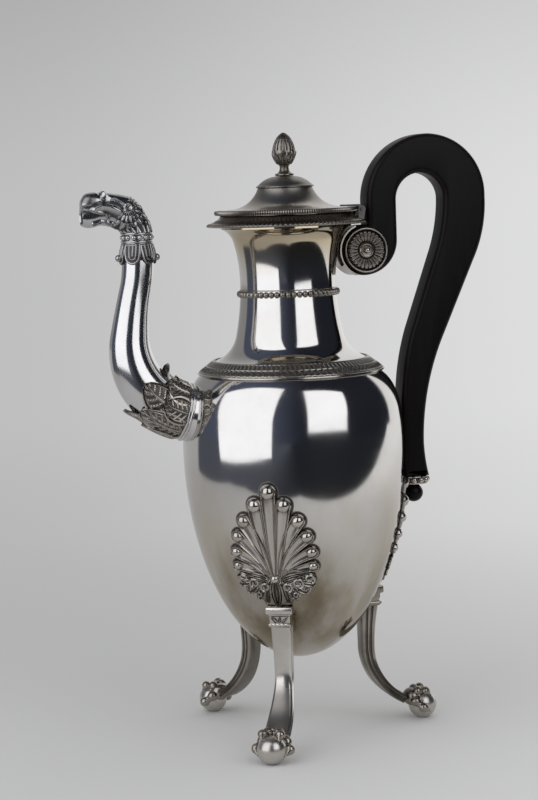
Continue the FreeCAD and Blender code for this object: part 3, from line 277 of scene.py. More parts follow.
def turned(name, material, body, stands_for, outline, segments, **options):
    """Piece that is one turned outline."""
    shape = Shape()
    shape.lathe(outline, segments, **options)
    shape.finish(name, material, body, [stands_for])


# Materials

class Nodes:
    """Adds shader nodes to a tree. Most calls give the socket that the node's result comes out of."""

    def __init__(self, tree):
        self.tree = tree

    def feed(self, made, inputs):
        """Set a node's inputs, by name or number, each to a constant or from another node's socket."""
        for key, value in inputs.items():
            if isinstance(value, bpy.types.NodeSocket):
                self.tree.links.new(value, made.inputs[key])
            else:
                made.inputs[key].default_value = value
        return made

    def add(self, kind, inputs=None, **settings):
        made = self.tree.nodes.new("ShaderNode" + kind)
        for key, value in settings.items():
            setattr(made, key, value)
        return self.feed(made, inputs or {})

    def shader(self, inputs):
        self.feed(self.tree.nodes["Principled BSDF"], inputs)

    def math(self, operation, first, second):
        return self.add("Math", {0: first, 1: second}, operation=operation).outputs[0]

    def product(self, first, second):
        return self.math("MULTIPLY", first, second)

    def highest(self, first, second):
        return self.math("MAXIMUM", first, second)

    def vector(self, operation, first, second):
        return self.add("VectorMath", {0: first, 1: second}, operation=operation).outputs["Value"]

    def dot(self, vector, direction):
        return self.vector("DOT_PRODUCT", vector, direction)

    def ease(self, value, low, high, start=0.0, finish=1.0, course="SMOOTHSTEP"):
        limits = {"Value": value, "From Min": low, "From Max": high, "To Min": start, "To Max": finish}
        return self.add("MapRange", limits, interpolation_type=course).outputs["Result"]

    def noise(self, vector, scale, detail, roughness=0.5):
        inputs = {"Vector": vector, "Scale": scale, "Detail": detail, "Roughness": roughness}
        return self.add("TexNoise", inputs).outputs["Fac"]

    def stretch(self, vector, scale, location=(0.0, 0.0, 0.0)):
        return self.add("Mapping", {"Vector": vector, "Location": location, "Scale": scale}).outputs["Vector"]

    def mix(self, share, first, second):
        return self.add("MixRGB", {"Fac": share, "Color1": first, "Color2": second}).outputs["Color"]

    def bump(self, height, strength, distance):
        inputs = {"Height": height, "Strength": strength, "Distance": distance}
        return self.add("Bump", inputs).outputs["Normal"]

    def grey(self, value, tint=(1.0, 1.0, 1.0)):
        shares = [self.product(value, share) for share in tint]
        return self.add("CombineColor", dict(enumerate(shares))).outputs["Color"]

    def blend(self, share, first, second):
        return self.add("MixShader", {0: share, 1: first, 2: second}).outputs[0]

    def light(self, color, kind="Background", strength=1.0):
        return self.add(kind, {"Color": color, "Strength": strength}).outputs[0]

    def near(self, place, spots, near, far):
        """One close to any of the spots, fading to nothing at the far distance."""
        closest = far
        for spot in spots:
            closest = self.math("MINIMUM", closest, self.vector("DISTANCE", place, spot))
        return self.ease(closest, near, far, 1.0, 0.0)


def new_material(name):
    material = bpy.data.materials.new(name)
    material.use_nodes = True
    return material, Nodes(material.node_tree)


# Heights in metres between which the warm tint low on the body fades out and the warm tint under the mouth
# fades in.
LOW_TINT = (0.06, 0.165)
TOP_TINT = (0.244, 0.266)
WARM_TINT_COLOR = (0.485, 0.405, 0.28, 1)
# Colour, and reach in metres, of the painted shade round the legs' roots.
LEG_SHADE_COLOR = (0.19, 0.155, 0.105, 1)
LEG_SHADE_REACH = (0.018, 0.052)
LEG_TURNS = {"handle": 0, "front": -120, "back": 120}
LEG_ROOT = Vector((0.044, 0, 0.077))
LEG_ROOTS = [Matrix.Rotation(radians(turn), 3, "Z") @ LEG_ROOT for turn in LEG_TURNS.values()]
SULPHIDE_COLOR = (0.036, 0.031, 0.026, 1)
SULPHIDE_ROUGH = (0.45, 0.45, 0.45, 1)
# Scale, detail and, for the first two, roughness of each noise.
STAIN_NOISE = (30.0, 7.0, 0.62)
STREAK_NOISE = (1.0, 4.0, 0.55)
HAMMER_NOISE = (26.0, 2.0)
STAIN_EDGE = (0.36, 0.68)
HAMMER_BUMP = (0.05, 0.0006)  # strength, and depth in metres
STREAK_SCALE = (38.0, 38.0, 14.0)
STREAK_PLACE = (3.0, 7.0, 0.0)


def make_silver(name, bright, stained, gloss_low, gloss_high, tint_and_shade_share=0.0):
    """Silver clouded with stains, with dark sulphide where the patina value is high.

    A warm tint can lie low on the body, in patches, and under the mouth, and painted shade round the legs'
    roots.
    """
    material, nodes = new_material(name)
    place = nodes.add("TexCoord").outputs["Object"]
    patina = nodes.add("Attribute", attribute_name="patina").outputs["Fac"]
    stain = nodes.ease(nodes.noise(place, *STAIN_NOISE), *STAIN_EDGE)
    streaks = nodes.noise(nodes.stretch(place, STREAK_SCALE, STREAK_PLACE), *STREAK_NOISE)
    height = nodes.dot(place, UP)
    patches = nodes.ease(streaks, 0.38, 0.62, 0.3, 1.0)
    # Warm tint: fades out up the body in streaky patches and fades in under the mouth.
    low_tint = nodes.product(nodes.ease(height, *LOW_TINT, tint_and_shade_share, 0.0), patches)
    warm_tint = nodes.highest(low_tint, nodes.ease(height, *TOP_TINT, 0.0, tint_and_shade_share))
    # Painted shade round the legs' roots, broken into streaky patches.
    shade_patches = nodes.ease(streaks, 0.36, 0.60, 0.5 * tint_and_shade_share, tint_and_shade_share)
    leg_shade = nodes.product(shade_patches, nodes.near(place, LEG_ROOTS, *LEG_SHADE_REACH))
    color = nodes.mix(stain, (*bright, 1), (*stained, 1))
    for share, layer in ((warm_tint, WARM_TINT_COLOR), (leg_shade, LEG_SHADE_COLOR), (patina, SULPHIDE_COLOR)):
        color = nodes.mix(share, color, layer)
    gloss = nodes.ease(stain, 0.0, 1.0, gloss_low, gloss_high, "LINEAR")
    nodes.shader({
        "Metallic": 1.0,
        "Base Color": color,
        "Roughness": nodes.mix(patina, gloss, SULPHIDE_ROUGH),
        "Normal": nodes.bump(nodes.noise(place, *HAMMER_NOISE), *HAMMER_BUMP),
    })
    return material


GRAIN_SCALE = (260.0, 260.0, 26.0)
GRAIN_NOISE = (1.0, 5.0)
GRAIN_BUMP = (0.16, 0.0004)
GRAIN_GLOSS = (0.30, 0.48)
GRAIN_COLORS = ((0.35, (0.0012, 0.0012, 0.0014, 1)), (0.75, (0.0036, 0.0031, 0.0030, 1)))
WORN_EDGE_AND_SHEEN_COLOR = (0.010, 0.0065, 0.005, 1)


def make_wood():
    """Blackened wood: fine long grain, a waxed sheen, and brown on the edges, partly worn by hands and partly
    a painted sheen.
    """
    material, nodes = new_material("ebonised_wood")
    place = nodes.add("TexCoord").outputs["Object"]
    wear_and_sheen = nodes.add("Attribute", attribute_name="patina").outputs["Fac"]
    grain = nodes.noise(nodes.stretch(place, GRAIN_SCALE), *GRAIN_NOISE)
    ramp = nodes.add("ValToRGB", {"Fac": grain})
    for stop, (position, color) in zip(ramp.color_ramp.elements, GRAIN_COLORS):
        stop.position = position
        stop.color = color
    nodes.shader({
        "Specular IOR Level": 0.12,
        "Coat Weight": 0.03,
        "Coat Roughness": 0.30,
        "Base Color": nodes.mix(wear_and_sheen, ramp.outputs["Color"], WORN_EDGE_AND_SHEEN_COLOR),
        "Roughness": nodes.ease(grain, 0.0, 1.0, *GRAIN_GLOSS, "LINEAR"),
        "Normal": nodes.bump(grain, *GRAIN_BUMP),
    })
    return material


silver = make_silver("polished_silver", (0.635, 0.62, 0.60), (0.60, 0.58, 0.555), 0.075, 0.115, 0.95)
worn = make_silver("worn_silver", (0.66, 0.65, 0.645), (0.60, 0.585, 0.57), 0.12, 0.16)
chased = make_silver("chased_silver", (0.62, 0.615, 0.615), (0.45, 0.44, 0.44), 0.13, 0.20)
shaded = make_silver("shaded_silver", (0.43, 0.42, 0.42), (0.27, 0.26, 0.26), 0.13, 0.22)
satin = make_silver("satin_silver", (0.66, 0.625, 0.585), (0.54, 0.505, 0.465), 0.16, 0.23)
aged = make_silver("aged_silver", (0.55, 0.515, 0.47), (0.40, 0.365, 0.325), 0.13, 0.24)
brushed = make_silver("brushed_silver", (0.60, 0.57, 0.53), (0.48, 0.45, 0.41), 0.26, 0.35)
dull = make_silver("dull_silver", (0.47, 0.44, 0.40), (0.36, 0.33, 0.29), 0.26, 0.36)
oxidised = make_silver("oxidised_silver", (0.38, 0.345, 0.305), (0.22, 0.195, 0.165), 0.19, 0.33)
# Darker silver for the back and handle legs: tarnish, with painted shade for the dark they sit in.
tarnish_and_shade = make_silver("tarnish_and_shade_silver", (0.35, 0.32, 0.28), (0.18, 0.16, 0.135), 0.17, 0.30)
near_black = make_silver("near_black_silver", (0.105, 0.1, 0.095), (0.055, 0.05, 0.046), 0.24, 0.36)
wood = make_wood()

# Hinge parts get a near-black silver, the other solids oxidised silver.
for name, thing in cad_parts.items():
    thing.data.materials.clear()
    thing.data.materials.append(near_black if name.startswith("hinge") else oxidised)


# Body, neck and shoulder

BODY_RADIUS = 58.8
BODY_MID = 155.0
BODY_LOW = 41.0
SHOULDER = (40.6, 200.9)
WALL = 1.0


def body_outline(grow=0.0):
    rise = BODY_MID - BODY_LOW + grow
    angles = spread(0.0, pi / 2, 90)
    points = [Vector(((BODY_RADIUS + grow) * sin(a), BODY_MID - rise * cos(a))) for a in angles]
    upper = [
        (BODY_RADIUS + grow, BODY_MID),
        (57.6 + grow, 174.0, 150.0 + grow),
        (SHOULDER[0] + 0.54 * grow, SHOULDER[1] + 0.84 * grow, 37.7 + grow),
    ]
    return points + run(upper)[1:]


def body_radius_at(height):
    drop = (height - BODY_MID) / (BODY_MID - BODY_LOW)
    return BODY_RADIUS * sqrt(max(1 - drop ** 2, 0.0))


def on_body(turn):
    """Placing for ornament on the lower body: across, height and proud, turned to one of the legs."""
    spin = Matrix.Rotation(radians(turn), 3, "Z")

    def place(across, height, proud):
        radius = body_radius_at(height)
        reach = sqrt(max(radius ** 2 - across ** 2, 0.0))
        slope = (height - BODY_MID) * BODY_RADIUS ** 2 / (BODY_MID - BODY_LOW) ** 2
        normal = Vector((reach, across, slope)).normalized()
        return spin @ (Vector((reach, across, height)) + normal * proud)
    return place


def make_body():
    lining = list(reversed(body_outline(-WALL)))
    turned("body_skin", silver, "pot", "body_shell", body_outline() + lining, 160)


def make_neck():
    outline = run([
        (40.1, 201.0), (28.5, 213.8, -17.4), (25.4, 243.0, -139.0), (28.3, 263.6, -74.6),
        (34.4, 270.4, -10.5), (34.4, 271.4), (33.4, 271.4), (27.3, 264.1, 11.5), (24.4, 243.0, 75.6),
        (27.5, 213.8, 140.0), (38.1, 199.4, 18.4), (39.1, 199.4), (39.1, 201.0), (40.1, 201.0),
    ])
    turned("neck_skin", silver, "pot", "neck_shell", outline, 144)


make_body()
make_neck()


def make_shoulder_band():
    """Low frieze on the cone of the shoulder: a row of small leaves under a row of slanted reeds."""
    leaves = 90
    reeds = 110
    low = Vector((49.0, 195.2))
    high = Vector((40.9, 201.4))

    def frieze(angle, point):
        share = (point.y - low.y) / (high.y - low.y)
        if share < 0.05:
            return 0.0, 0.0, 0.0
        line = bump(share, 0.10, 0.035) + bump(share, 0.53, 0.03) + bump(share, 0.96, 0.04)
        if share > 0.53:
            window = smooth_step(0.55, 0.60, share) * smooth_step(0.93, 0.88, share)
            carved = window * (0.5 + 0.5 * cos(angle * reeds + 5.0 * share))
        else:
            across = abs(angle * leaves / tau % 1.0 - 0.5)
            reach = (share - 0.13) / 0.36
            edge = 0.44 * sin(pi * min(max(0.15 + 0.8 * reach, 0.0), 1.0))
            carved = max(bump(across, edge, 0.09), bump(hypot(across * 2.6, reach - 0.42), 0.0, 0.24))
        lit = min(max(line, carved), 1.0)
        return 0.22 * lit, 0.26 * lit, 0.72 - 0.64 * lit
    outline = run([(48.2, 194.4), (49.55, 194.7, 0.9), (49.1, 195.35, 0.7)])
    outline += [low.lerp(high, share) for share in spread(0.03, 1.0, 40)]
    outline += run([(40.6, 201.5), (40.0, 201.3)])
    turned("shoulder_frieze", aged, "pot", "shoulder_band", outline, 900, ripple=frieze)


def make_neck_beads():
    """Ring of beads between two fine wires."""
    shape = Shape()
    count = 54
    ring = 25.9
    height = 236.1
    wire_gap = 2.2
    for angle in angles_round(count):
        shape.bead(round_spot(ring, angle, height), 1.5, stretch=UP * 1.15, rows=8, columns=12)
    for level in (height - wire_gap, height + wire_gap):
        shape.lathe(run([(ring - 0.8, level - 0.6), (ring - 0.8, level + 0.6, 0.61)], 0.3), 144)
    core = run([(ring - 0.6, height - wire_gap), (ring - 0.2, height), (ring - 0.6, height + wire_gap)])
    shape.lathe(core, 144, patina=lambda point: 0.95)
    shape.finish("neck_beads", oxidised, "pot", ["neck_bead_ring"])


def make_mouth_rim():
    """Reeded flare with a dotted edge under a plain hollow."""
    shape = Shape()
    count = 108

    def reeds(angle, point):
        weight = smooth_step(35.8, 37.2, point.x) * smooth_step(42.2, 40.6, point.x)
        if point.y < 272.0 or weight <= 0.0:
            return 0.0, 0.0, 0.0
        wave = cos(angle * count)
        return 0.16 * wave * weight, 0.22 * wave * weight, 0.85 * weight * smooth_step(0.25, -0.9, wave)
    outline = run([
        (33.0, 271.4), (40.4, 271.4), (41.5, 271.7), (41.7, 272.6, 0.7), (41.0, 273.2), (35.0, 277.0, -7.5),
        (34.7, 277.4), (33.0, 277.4), (33.0, 271.4),
    ], 0.35)
    shape.lathe(outline, count * 8, reeds)
    for angle in angles_round(count):
        shape.bead(round_spot(41.35, angle, 272.35), 0.72, rows=6, columns=8)
    shape.finish("reeded_mouth_rim", oxidised, "pot", ["mouth_rim"])


# Lid and bud

LID_LOW = 277.7
LID_TOP = 280.1


def make_lid():
    outline = run([
        (1.7, 296.3), (4.3, 296.1), (12.9, 292.0, -12.7), (13.1, 291.3), (27.4, 279.4, 17.2), (34.9, 278.8),
        (35.6, 278.8), (35.6, 280.0), (28.0, 280.6), (14.3, 291.4, -16.1), (15.0, 291.4), (15.25, 291.8, 0.4),
        (15.0, 292.2, 0.4), (14.0, 292.9), (4.6, 297.2, 13.8), (1.7, 297.4), (1.7, 296.3),
    ], 0.5)
    # Painted shade: the dome darkens towards its top.
    turned("lid_top", dull, "lid", "lid_dome", outline, 128,
           patina=lambda point: 0.42 * smooth_step(281.5, 287.0, point.y))


def make_lid_edge():
    """Finely milled wire."""
    count = 180

    def milling(angle, point):
        weight = smooth_step(36.6, 37.2, point.x)
        wave = cos(angle * count)
        return 0.22 * wave * weight, 0.0, 0.8 * weight * smooth_step(0.3, -0.9, wave)
    outline = run([(35.6, LID_LOW), (36.9, LID_LOW), (36.9, LID_TOP, 1.42), (35.6, LID_TOP)], 0.35)
    turned("milled_lid_edge", oxidised, "lid", "lid_edge", outline, count * 6, ripple=milling)


def make_finial():
    """Bud of long petals that rises from a ring of leaf tips, on a small moulded foot."""
    petals = 14
    widest = 310.0

    def petal_ripple(angle, point):
        if point.y < 303.5:
            return 0.0, 0.0, 0.2 + 0.3 * bump(point.y, 301.0, 1.6)
        fade = min(1.0, point.x / 3.0)
        if point.y > widest + 0.7:
            wave = abs(cos(angle * petals / 2))
            return -0.42 * fade * (1 - wave) ** 2, 0.0, mix(0.25, 0.9, fade * smooth_step(0.6, 0.05, wave))
        turn = angle * petals / tau % 1.0 - 0.5
        tip = widest - 6.2 * abs(turn) * 2
        inside = smooth_step(-0.9, 0.5, tip - point.y)
        rib = bump(turn, 0.0, 0.10) + bump(abs(turn), 0.42, 0.09)
        dark = 0.75 * fade * (1 - min(rib, 1.0)) * (0.5 + 0.5 * inside)
        return fade * inside * (0.34 + 0.24 * rib), 0.0, dark
    bud = run([
        (4.5, 298.6), (2.55, 300.5, -2.6), (2.35, 301.5), (2.55, 302.6), (6.1, 309.6, 13.0),
        (4.5, 315.8, 12.5), (1.6, 319.3, 7.5), (0.02, 320.0, 2.2),
    ], 0.3)
    turned("bud_knob", oxidised, "lid", "finial_bud", bud, petals * 12, ripple=petal_ripple)
    foot = run([(1.5, 297.4), (4.6, 297.4), (4.6, 298.6, 0.62), (3.4, 298.8), (1.5, 298.8)], 0.2)
    turned("bud_foot", oxidised, "lid", "finial_base", foot, 64)


make_shoulder_band()
make_neck_beads()
make_mouth_rim()
make_lid()
make_lid_edge()
make_finial()


# Spout

SPOUT_FOOT = (-57.2, 0.0, 176.0)
SPOUT_HEADING = 180 - 11.6
SPOUT_ARCS = [(37.0, -84.0), (200.0, -7.4), (70.0, 13.0)]
SPOUT_START = 3.2
SPOUT_END = 97.0


def spout_frame(distance):
    """Centre, direction and outward dorsal direction of the spout."""
    point, heading = along(SPOUT_FOOT, SPOUT_HEADING, SPOUT_ARCS, distance)
    forward = side_ray(heading)
    return point, forward, SIDE.cross(forward)


def spout_radius(distance):
    fall = min(max((distance - 15.0) / 70.0, 0.0), 1.0)
    return 8.3 + 4.9 * (1 + cos(pi * fall)) / 2


def on_spout(angle, distance, proud):
    """Point on the tube: the angle runs round it from its upper side towards the front of the pot."""
    centre, forward, upper = spout_frame(distance)
    out = upper * cos(angle) - SIDE * sin(angle)
    return centre + out * (spout_radius(distance) + proud)


def make_spout_tube():
    shape = Shape()
    places = spread(SPOUT_START, SPOUT_END, 90)
    angles = angles_round(64)
    rows = [[(on_spout(angle, distance, 0.0), 0.0) for angle in angles] for distance in places]
    rows += [[(on_spout(angle, distance, -WALL), 0.6) for angle in angles] for distance in reversed(places)]
    shape.grid(rows + rows[:1], wrap=True)
    shape.finish("spout_pipe", worn, "pot", ["spout_tube"])


def ring_placer(distance):
    """Places a turned piece square to the spout, its own height measured along it."""
    centre, forward, upper = spout_frame(distance)

    def place(spot):
        return centre + upper * spot.x - SIDE * spot.y + forward * spot.z
    return place


def make_spout_base():
    outline = run([
        (12.2, -9.0), (15.1, -9.0), (15.1, -3.0), (15.6, -2.2, 0.8), (15.1, -1.5, 0.8), (14.7, -1.3),
        (15.0, -0.8, 0.5), (14.2, 0.0, 0.9), (12.2, 0.0), (12.2, -9.0),
    ], 0.3)
    turned("spout_foot_ring", worn, "pot", "spout_base_ring", outline, 96, place=ring_placer(SPOUT_START))


def ribbed(height, ribs, shade=0.0):
    """Relief of a leaf with nested ribs and dark grooves inside a raised rim, the rest shaded a little."""
    def relief(across, share):
        wave = (0.5 + 0.5 * cos(tau * ribs * across)) ** 1.7
        edge = bump(across, 0.88, 0.09)
        fold = smooth_step(0.0, 0.12, share)
        rise = height * (0.35 + (0.45 * wave * (1 - edge) + 0.5 * edge) * fold)
        return rise, mix(shade, 0.88, (1 - wave) * (1 - edge)) + 0.25 * bump(across, 1.0, 0.05)
    return relief


def veined(height, veins):
    """Relief of an acanthus leaf: double border, midrib and slanting veins on a dark ground."""
    def relief(across, share):
        border = max(smooth_step(0.83, 0.89, across), 0.9 * bump(across, 0.72, 0.05))
        rib = bump(across, 0.0, 0.08)
        slant = 0.5 + 0.5 * cos(tau * (share * veins - across * 1.6))
        vein = slant ** 3 * smooth_step(0.06, 0.14, across) * smooth_step(0.70, 0.62, across)
        lit = max(border, rib, vein)
        return height * (0.35 + 0.6 * lit * smooth_step(0.0, 0.1, share)), 0.82 * (1 - lit)
    return relief


def make_spout_calyx():
    """Broad leaves on the ring, longer ones between and behind them, the upper and lower tips curling off."""
    shape = Shape()
    foot = SPOUT_START + 0.1

    def leaf(middle, length, width, height, veins, curl, lift):
        def place(across, distance, proud):
            rise = smooth_step(0.55, 1.0, (distance - foot) / length)
            proud += lift + curl * rise ** 2
            return on_spout(middle + across / spout_radius(distance), distance, proud)

        def half_width(share):
            return width * (0.80 + 0.20 * sin(pi * share)) * sqrt(max(1 - share ** 2.4, 0))
        shape.petal(lambda share: (0.0, foot + length * share), half_width, veined(height, veins), place,
                    round_tip=False, along_count=36, across_count=36)
    for quarter, (length, curl) in enumerate(((28.0, 3.4), (28.0, 0.3), (22.5, 2.4), (28.0, 0.3))):
        middle = pi / 2 * quarter
        leaf(middle, length, 10.6, 1.3, 8, curl, 0.2)
        leaf(middle + pi / 4, 19.5, 8.4, 1.3, 7, 0.4, 0.8)
        leaf(middle, 14.0, 7.2, 1.3, 5, 0.3, 1.3)
    shape.finish("spout_leaf_cup", aged, "pot", ["spout_calyx"])


COLLAR_ACROSS = spout_frame(SPOUT_END)[0].x
COLLAR_LOW = 255.0
COLLAR_TOP = 265.6
BAND_TOP = 271.0


def at_collar(spot):
    return spot + Vector((COLLAR_ACROSS, 0, 0))


def collar_radius(height):
    share = (height - COLLAR_LOW) / (COLLAR_TOP - COLLAR_LOW)
    return 8.75 + 0.45 * sin(pi * min(share + 0.25, 1.0)) - 0.85 * smooth_step(0.55, 1.0, share)


def make_spout_collar():
    """Hanging leaves with nested ribs, and a ball on the tip at the front and the back of the spout."""
    shape = Shape()
    leaves = 6
    rim = COLLAR_LOW + 1.6
    cup = [Vector((collar_radius(level) - 0.5, level)) for level in spread(rim, COLLAR_TOP, 10)]
    cup += run([(6.6, COLLAR_TOP), (6.6, 258.5), (8.5, 258.5), (8.5, rim)]) + cup[:1]
    shape.lathe(cup, 64, patina=lambda point: 0.9, place=at_collar)
    for middle in angles_round(leaves):
        def place(across, drop, proud):
            level = COLLAR_TOP - drop
            radius = collar_radius(level)
            return at_collar(round_spot(radius + proud - 0.45, middle + across / radius, level))
        shape.petal(lambda share: (0.0, 0.1 + 6.6 * share),
                    lambda share: mix(4.5, 4.95, sin(pi * share)),
                    ribbed(1.2, 2.5), place, along_count=10, across_count=34)
    for side in (-1, 1):
        shape.bead(Vector((COLLAR_ACROSS + side * 10.0, 0, COLLAR_LOW + 2.9)), 1.9)
    for level in (COLLAR_TOP - 0.3, COLLAR_TOP - 1.3):
        shape.lathe(run([(8.0, level - 0.45), (8.0, level + 0.45, 0.46)], 0.2), 64, place=at_collar)
    shape.finish("spout_leaf_collar", shaded, "pot", ["spout_collar"])


def make_bead_band():
    shape = Shape()
    beads = 14
    low, top = COLLAR_TOP, BAND_TOP
    middle = (low + top) / 2
    ring = run([
        (6.6, low), (8.1, low), (8.1, low + 1.2, 0.62), (7.3, low + 1.3), (7.3, top - 1.3), (8.1, top - 1.2),
        (8.1, top, 0.62), (6.6, top), (6.6, low),
    ], 0.25)
    shape.lathe(ring, 64, place=at_collar,
                patina=lambda point: 0.92 * bump(point.y, middle, 1.2) * (point.x < 7.5))
    for angle in angles_round(beads, 0.5):
        shape.bead(at_collar(round_spot(7.4, angle, middle)), 1.45)
    shape.finish("spout_beads", chased, "pot", ["spout_bead_band"])


# Animal head of the spout

HEAD_TOP = ((-72.6, 271.0), (-74.5, 277.0), (-77.4, 283.2), (-82.0, 288.4), (-87.4, 290.5), (-92.6, 291.4),
            (-97.4, 292.1), (-102.4, 292.4), (-107.0, 291.4), (-109.3, 288.4))
HEAD_UNDER = ((-88.6, 271.0), (-89.5, 272.0), (-91.2, 272.9), (-93.3, 273.8), (-95.6, 274.6), (-98.2, 275.15),
              (-100.9, 275.0), (-103.6, 274.2), (-106.2, 274.1), (-108.8, 274.8))
BROW = ((-98.2, 291.6), (-94.9, 288.2), (-92.3, 288.0), (-87.4, 284.9))
LIP_ROLL = ((-103.4, 283.8), (-99.6, 285.3), (-96.0, 284.8), (-92.8, 283.4), (-88.9, 281.2))
LIP_CREASE = ((-109.8, 285.2), (-104.8, 285.2), (-100.3, 287.2), (-96.0, 286.9), (-92.0, 285.5),
              (-88.5, 283.4))
LIP_EDGE = ((-109.8, 284.0), (-103.9, 283.2), (-97.3, 280.7), (-96.1, 277.9))
# Line under the lip roll along which shade is painted.
UNDER_ROLL_SHADE = ((-98.0, 282.2), (-94.6, 281.0), (-91.0, 279.4), (-88.0, 277.4))
STRAP = ((-103.6, 275.6), (-100.1, 276.6), (-94.4, 275.9), (-89.0, 272.3))
EAR = Vector((-86.2, 283.6))
EYE = Vector((-98.2, 288.4))
NOSE = Vector((-105.2, 289.4))
JOWL = Vector((-94.0, 283.2))
CROWN_LOW = 289.5
NOZZLE = Vector((-109.0, 279.6))
# Share of the way from the muzzle to the nozzle, radius, depth and patina of each closing ring.
NOZZLE_RINGS = ((0.55, 4.3, -0.5, 0.1), (1.0, 4.3, -0.5, 0.1), (1.0, 3.6, 0.2, 0.3), (1.0, 3.3, 9.0, 0.9))


def through(points, share):
    """Smooth curve through evenly numbered points."""
    place = share * (len(points) - 1)
    first = min(int(place), len(points) - 2)
    part = place - first
    before = Vector(points[max(first - 1, 0)])
    start = Vector(points[first])
    finish = Vector(points[first + 1])
    after = Vector(points[min(first + 2, len(points) - 1)])
    lean_in = (finish - before) / 2
    lean_out = (after - start) / 2
    return (start * (2 * part ** 3 - 3 * part ** 2 + 1) + lean_in * (part ** 3 - 2 * part ** 2 + part)
            + finish * (3 * part ** 2 - 2 * part ** 3) + lean_out * (part ** 3 - part ** 2))


def off_line(spot, start, finish):
    """Distance from a stretch in the side view."""
    start = Vector(start)
    run_of = Vector(finish) - start
    share = min(max((spot - start).dot(run_of) / run_of.length_squared, 0.0), 1.0)
    return (spot - start - run_of * share).length


def off_path(spot, path):
    return min(off_line(spot, start, finish) for start, finish in zip(path, path[1:]))


def nape_relief(spot, share, angle):
    """Feathers that radiate from the ear, and upright leaf tips over the bead band."""
    ray = spot - EAR
    row = ray.length / 3.9
    column = atan2(ray.y, ray.x) * 2.9 + 0.5 * (int(row) % 2)
    across = abs(column % 1.0 - 0.5) * 2
    feather = hypot(across, (row % 1.0) * 1.02)
    lit = smooth_step(1.02, 0.78, feather) * (0.55 + 0.45 * bump(across, 0.0, 0.30))
    tips = angle / tau * 18 % 1.0 - 0.5
    upright = smooth_step(0.13, 0.10, share)
    leaf = max(1 - (abs(tips) * 2 / max(1.05 - share * 7.5, 0.05)) ** 2, 0.0)
    return mix(lit, leaf, upright)


def head_relief(spot, flank, share, angle):
    """Raised or sunk carving at a point of the side view, with its patina and painted shade under the lip
    roll and over the top.
    """
    brow = bump(off_path(spot, BROW), 0.0, 0.52)
    roll = bump(off_path(spot, LIP_ROLL), 0.0, 1.25)
    crease = bump(off_path(spot, LIP_CREASE), 0.0, 0.55)
    lip = bump(off_path(spot, LIP_EDGE), 0.0, 0.42)
    strap = bump(abs(off_path(spot, STRAP) - 0.75), 0.0, 0.4)
    under_roll_shade = bump(off_path(spot, UNDER_ROLL_SHADE), 0.0, 1.5) * (1 - roll)
    rise = 1.4 * brow + 1.5 * roll - 0.8 * crease + 0.5 * lip - 0.4 * under_roll_shade
    rise += 0.9 * bump((spot - NOSE).length, 0.0, 3.0)
    rise += 0.8 * bump((spot - JOWL).length, 0.0, 4.0)
    edge_groove = bump(abs(off_path(spot, LIP_EDGE) - 0.7), 0.0, 0.35)
    dark = (0.75 * crease + 0.4 * edge_groove) * (1 - roll)
    lip_height = mix(284.0, 280.7, smooth_step(-109.8, -97.3, spot.x))
    rise -= 0.8 * smooth_step(0.5, -0.5, spot.y - lip_height) * smooth_step(-95.4, -97.4, spot.x)
    # Painted shade under the lip roll and over the top of the muzzle.
    dark += 0.75 * under_roll_shade + 0.72 * smooth_step(285.4, 287.4, spot.y) * smooth_step(-101.0, -103.2, spot.x)
    socket = bump((spot - EYE).length, 0.0, 1.7)
    rise -= 0.8 * socket
    dark += 0.85 * socket
    ear = (spot - EAR).length
    rise += 0.75 * bump(ear, 1.9, 0.5) - 0.8 * bump(ear, 0.0, 1.0)
    dark += 0.9 * bump(ear, 0.0, 1.15) + 0.5 * bump(ear, 2.8, 0.4)
    # Painted shade over the top of the head behind the brow.
    dark += 0.45 * smooth_step(0.2, 0.9, spot.y - 288.6) * smooth_step(-97.0, -95.0, spot.x) * (1 - brow)
    rise *= flank
    dark *= flank
    rise += 0.8 * strap * (1 - roll)
    dark += 0.7 * bump(off_path(spot, STRAP), 0.0, 0.35)
    stop = bump(spot.x, -100.0, 0.7) * (spot.y > CROWN_LOW)
    rise += 0.7 * bump(spot.x, -97.9, 0.9) * (spot.y > CROWN_LOW) - 0.5 * stop
    dark += 0.6 * stop
    nape = smooth_step(0.42, 0.34, share) * smooth_step(1.8, 2.8, ear)
    lit = nape_relief(spot, share, angle)
    rise = mix(rise, 0.6 * lit - 0.1, nape)
    dark = mix(dark, 0.95 * (1 - lit), nape)
    return rise, min(max(dark, 0.0), 1.0)


def fuller(value):
    """Sine or cosine raised a little, so that a round section comes nearer to a square."""
    return copysign(abs(value) ** 0.92, value)


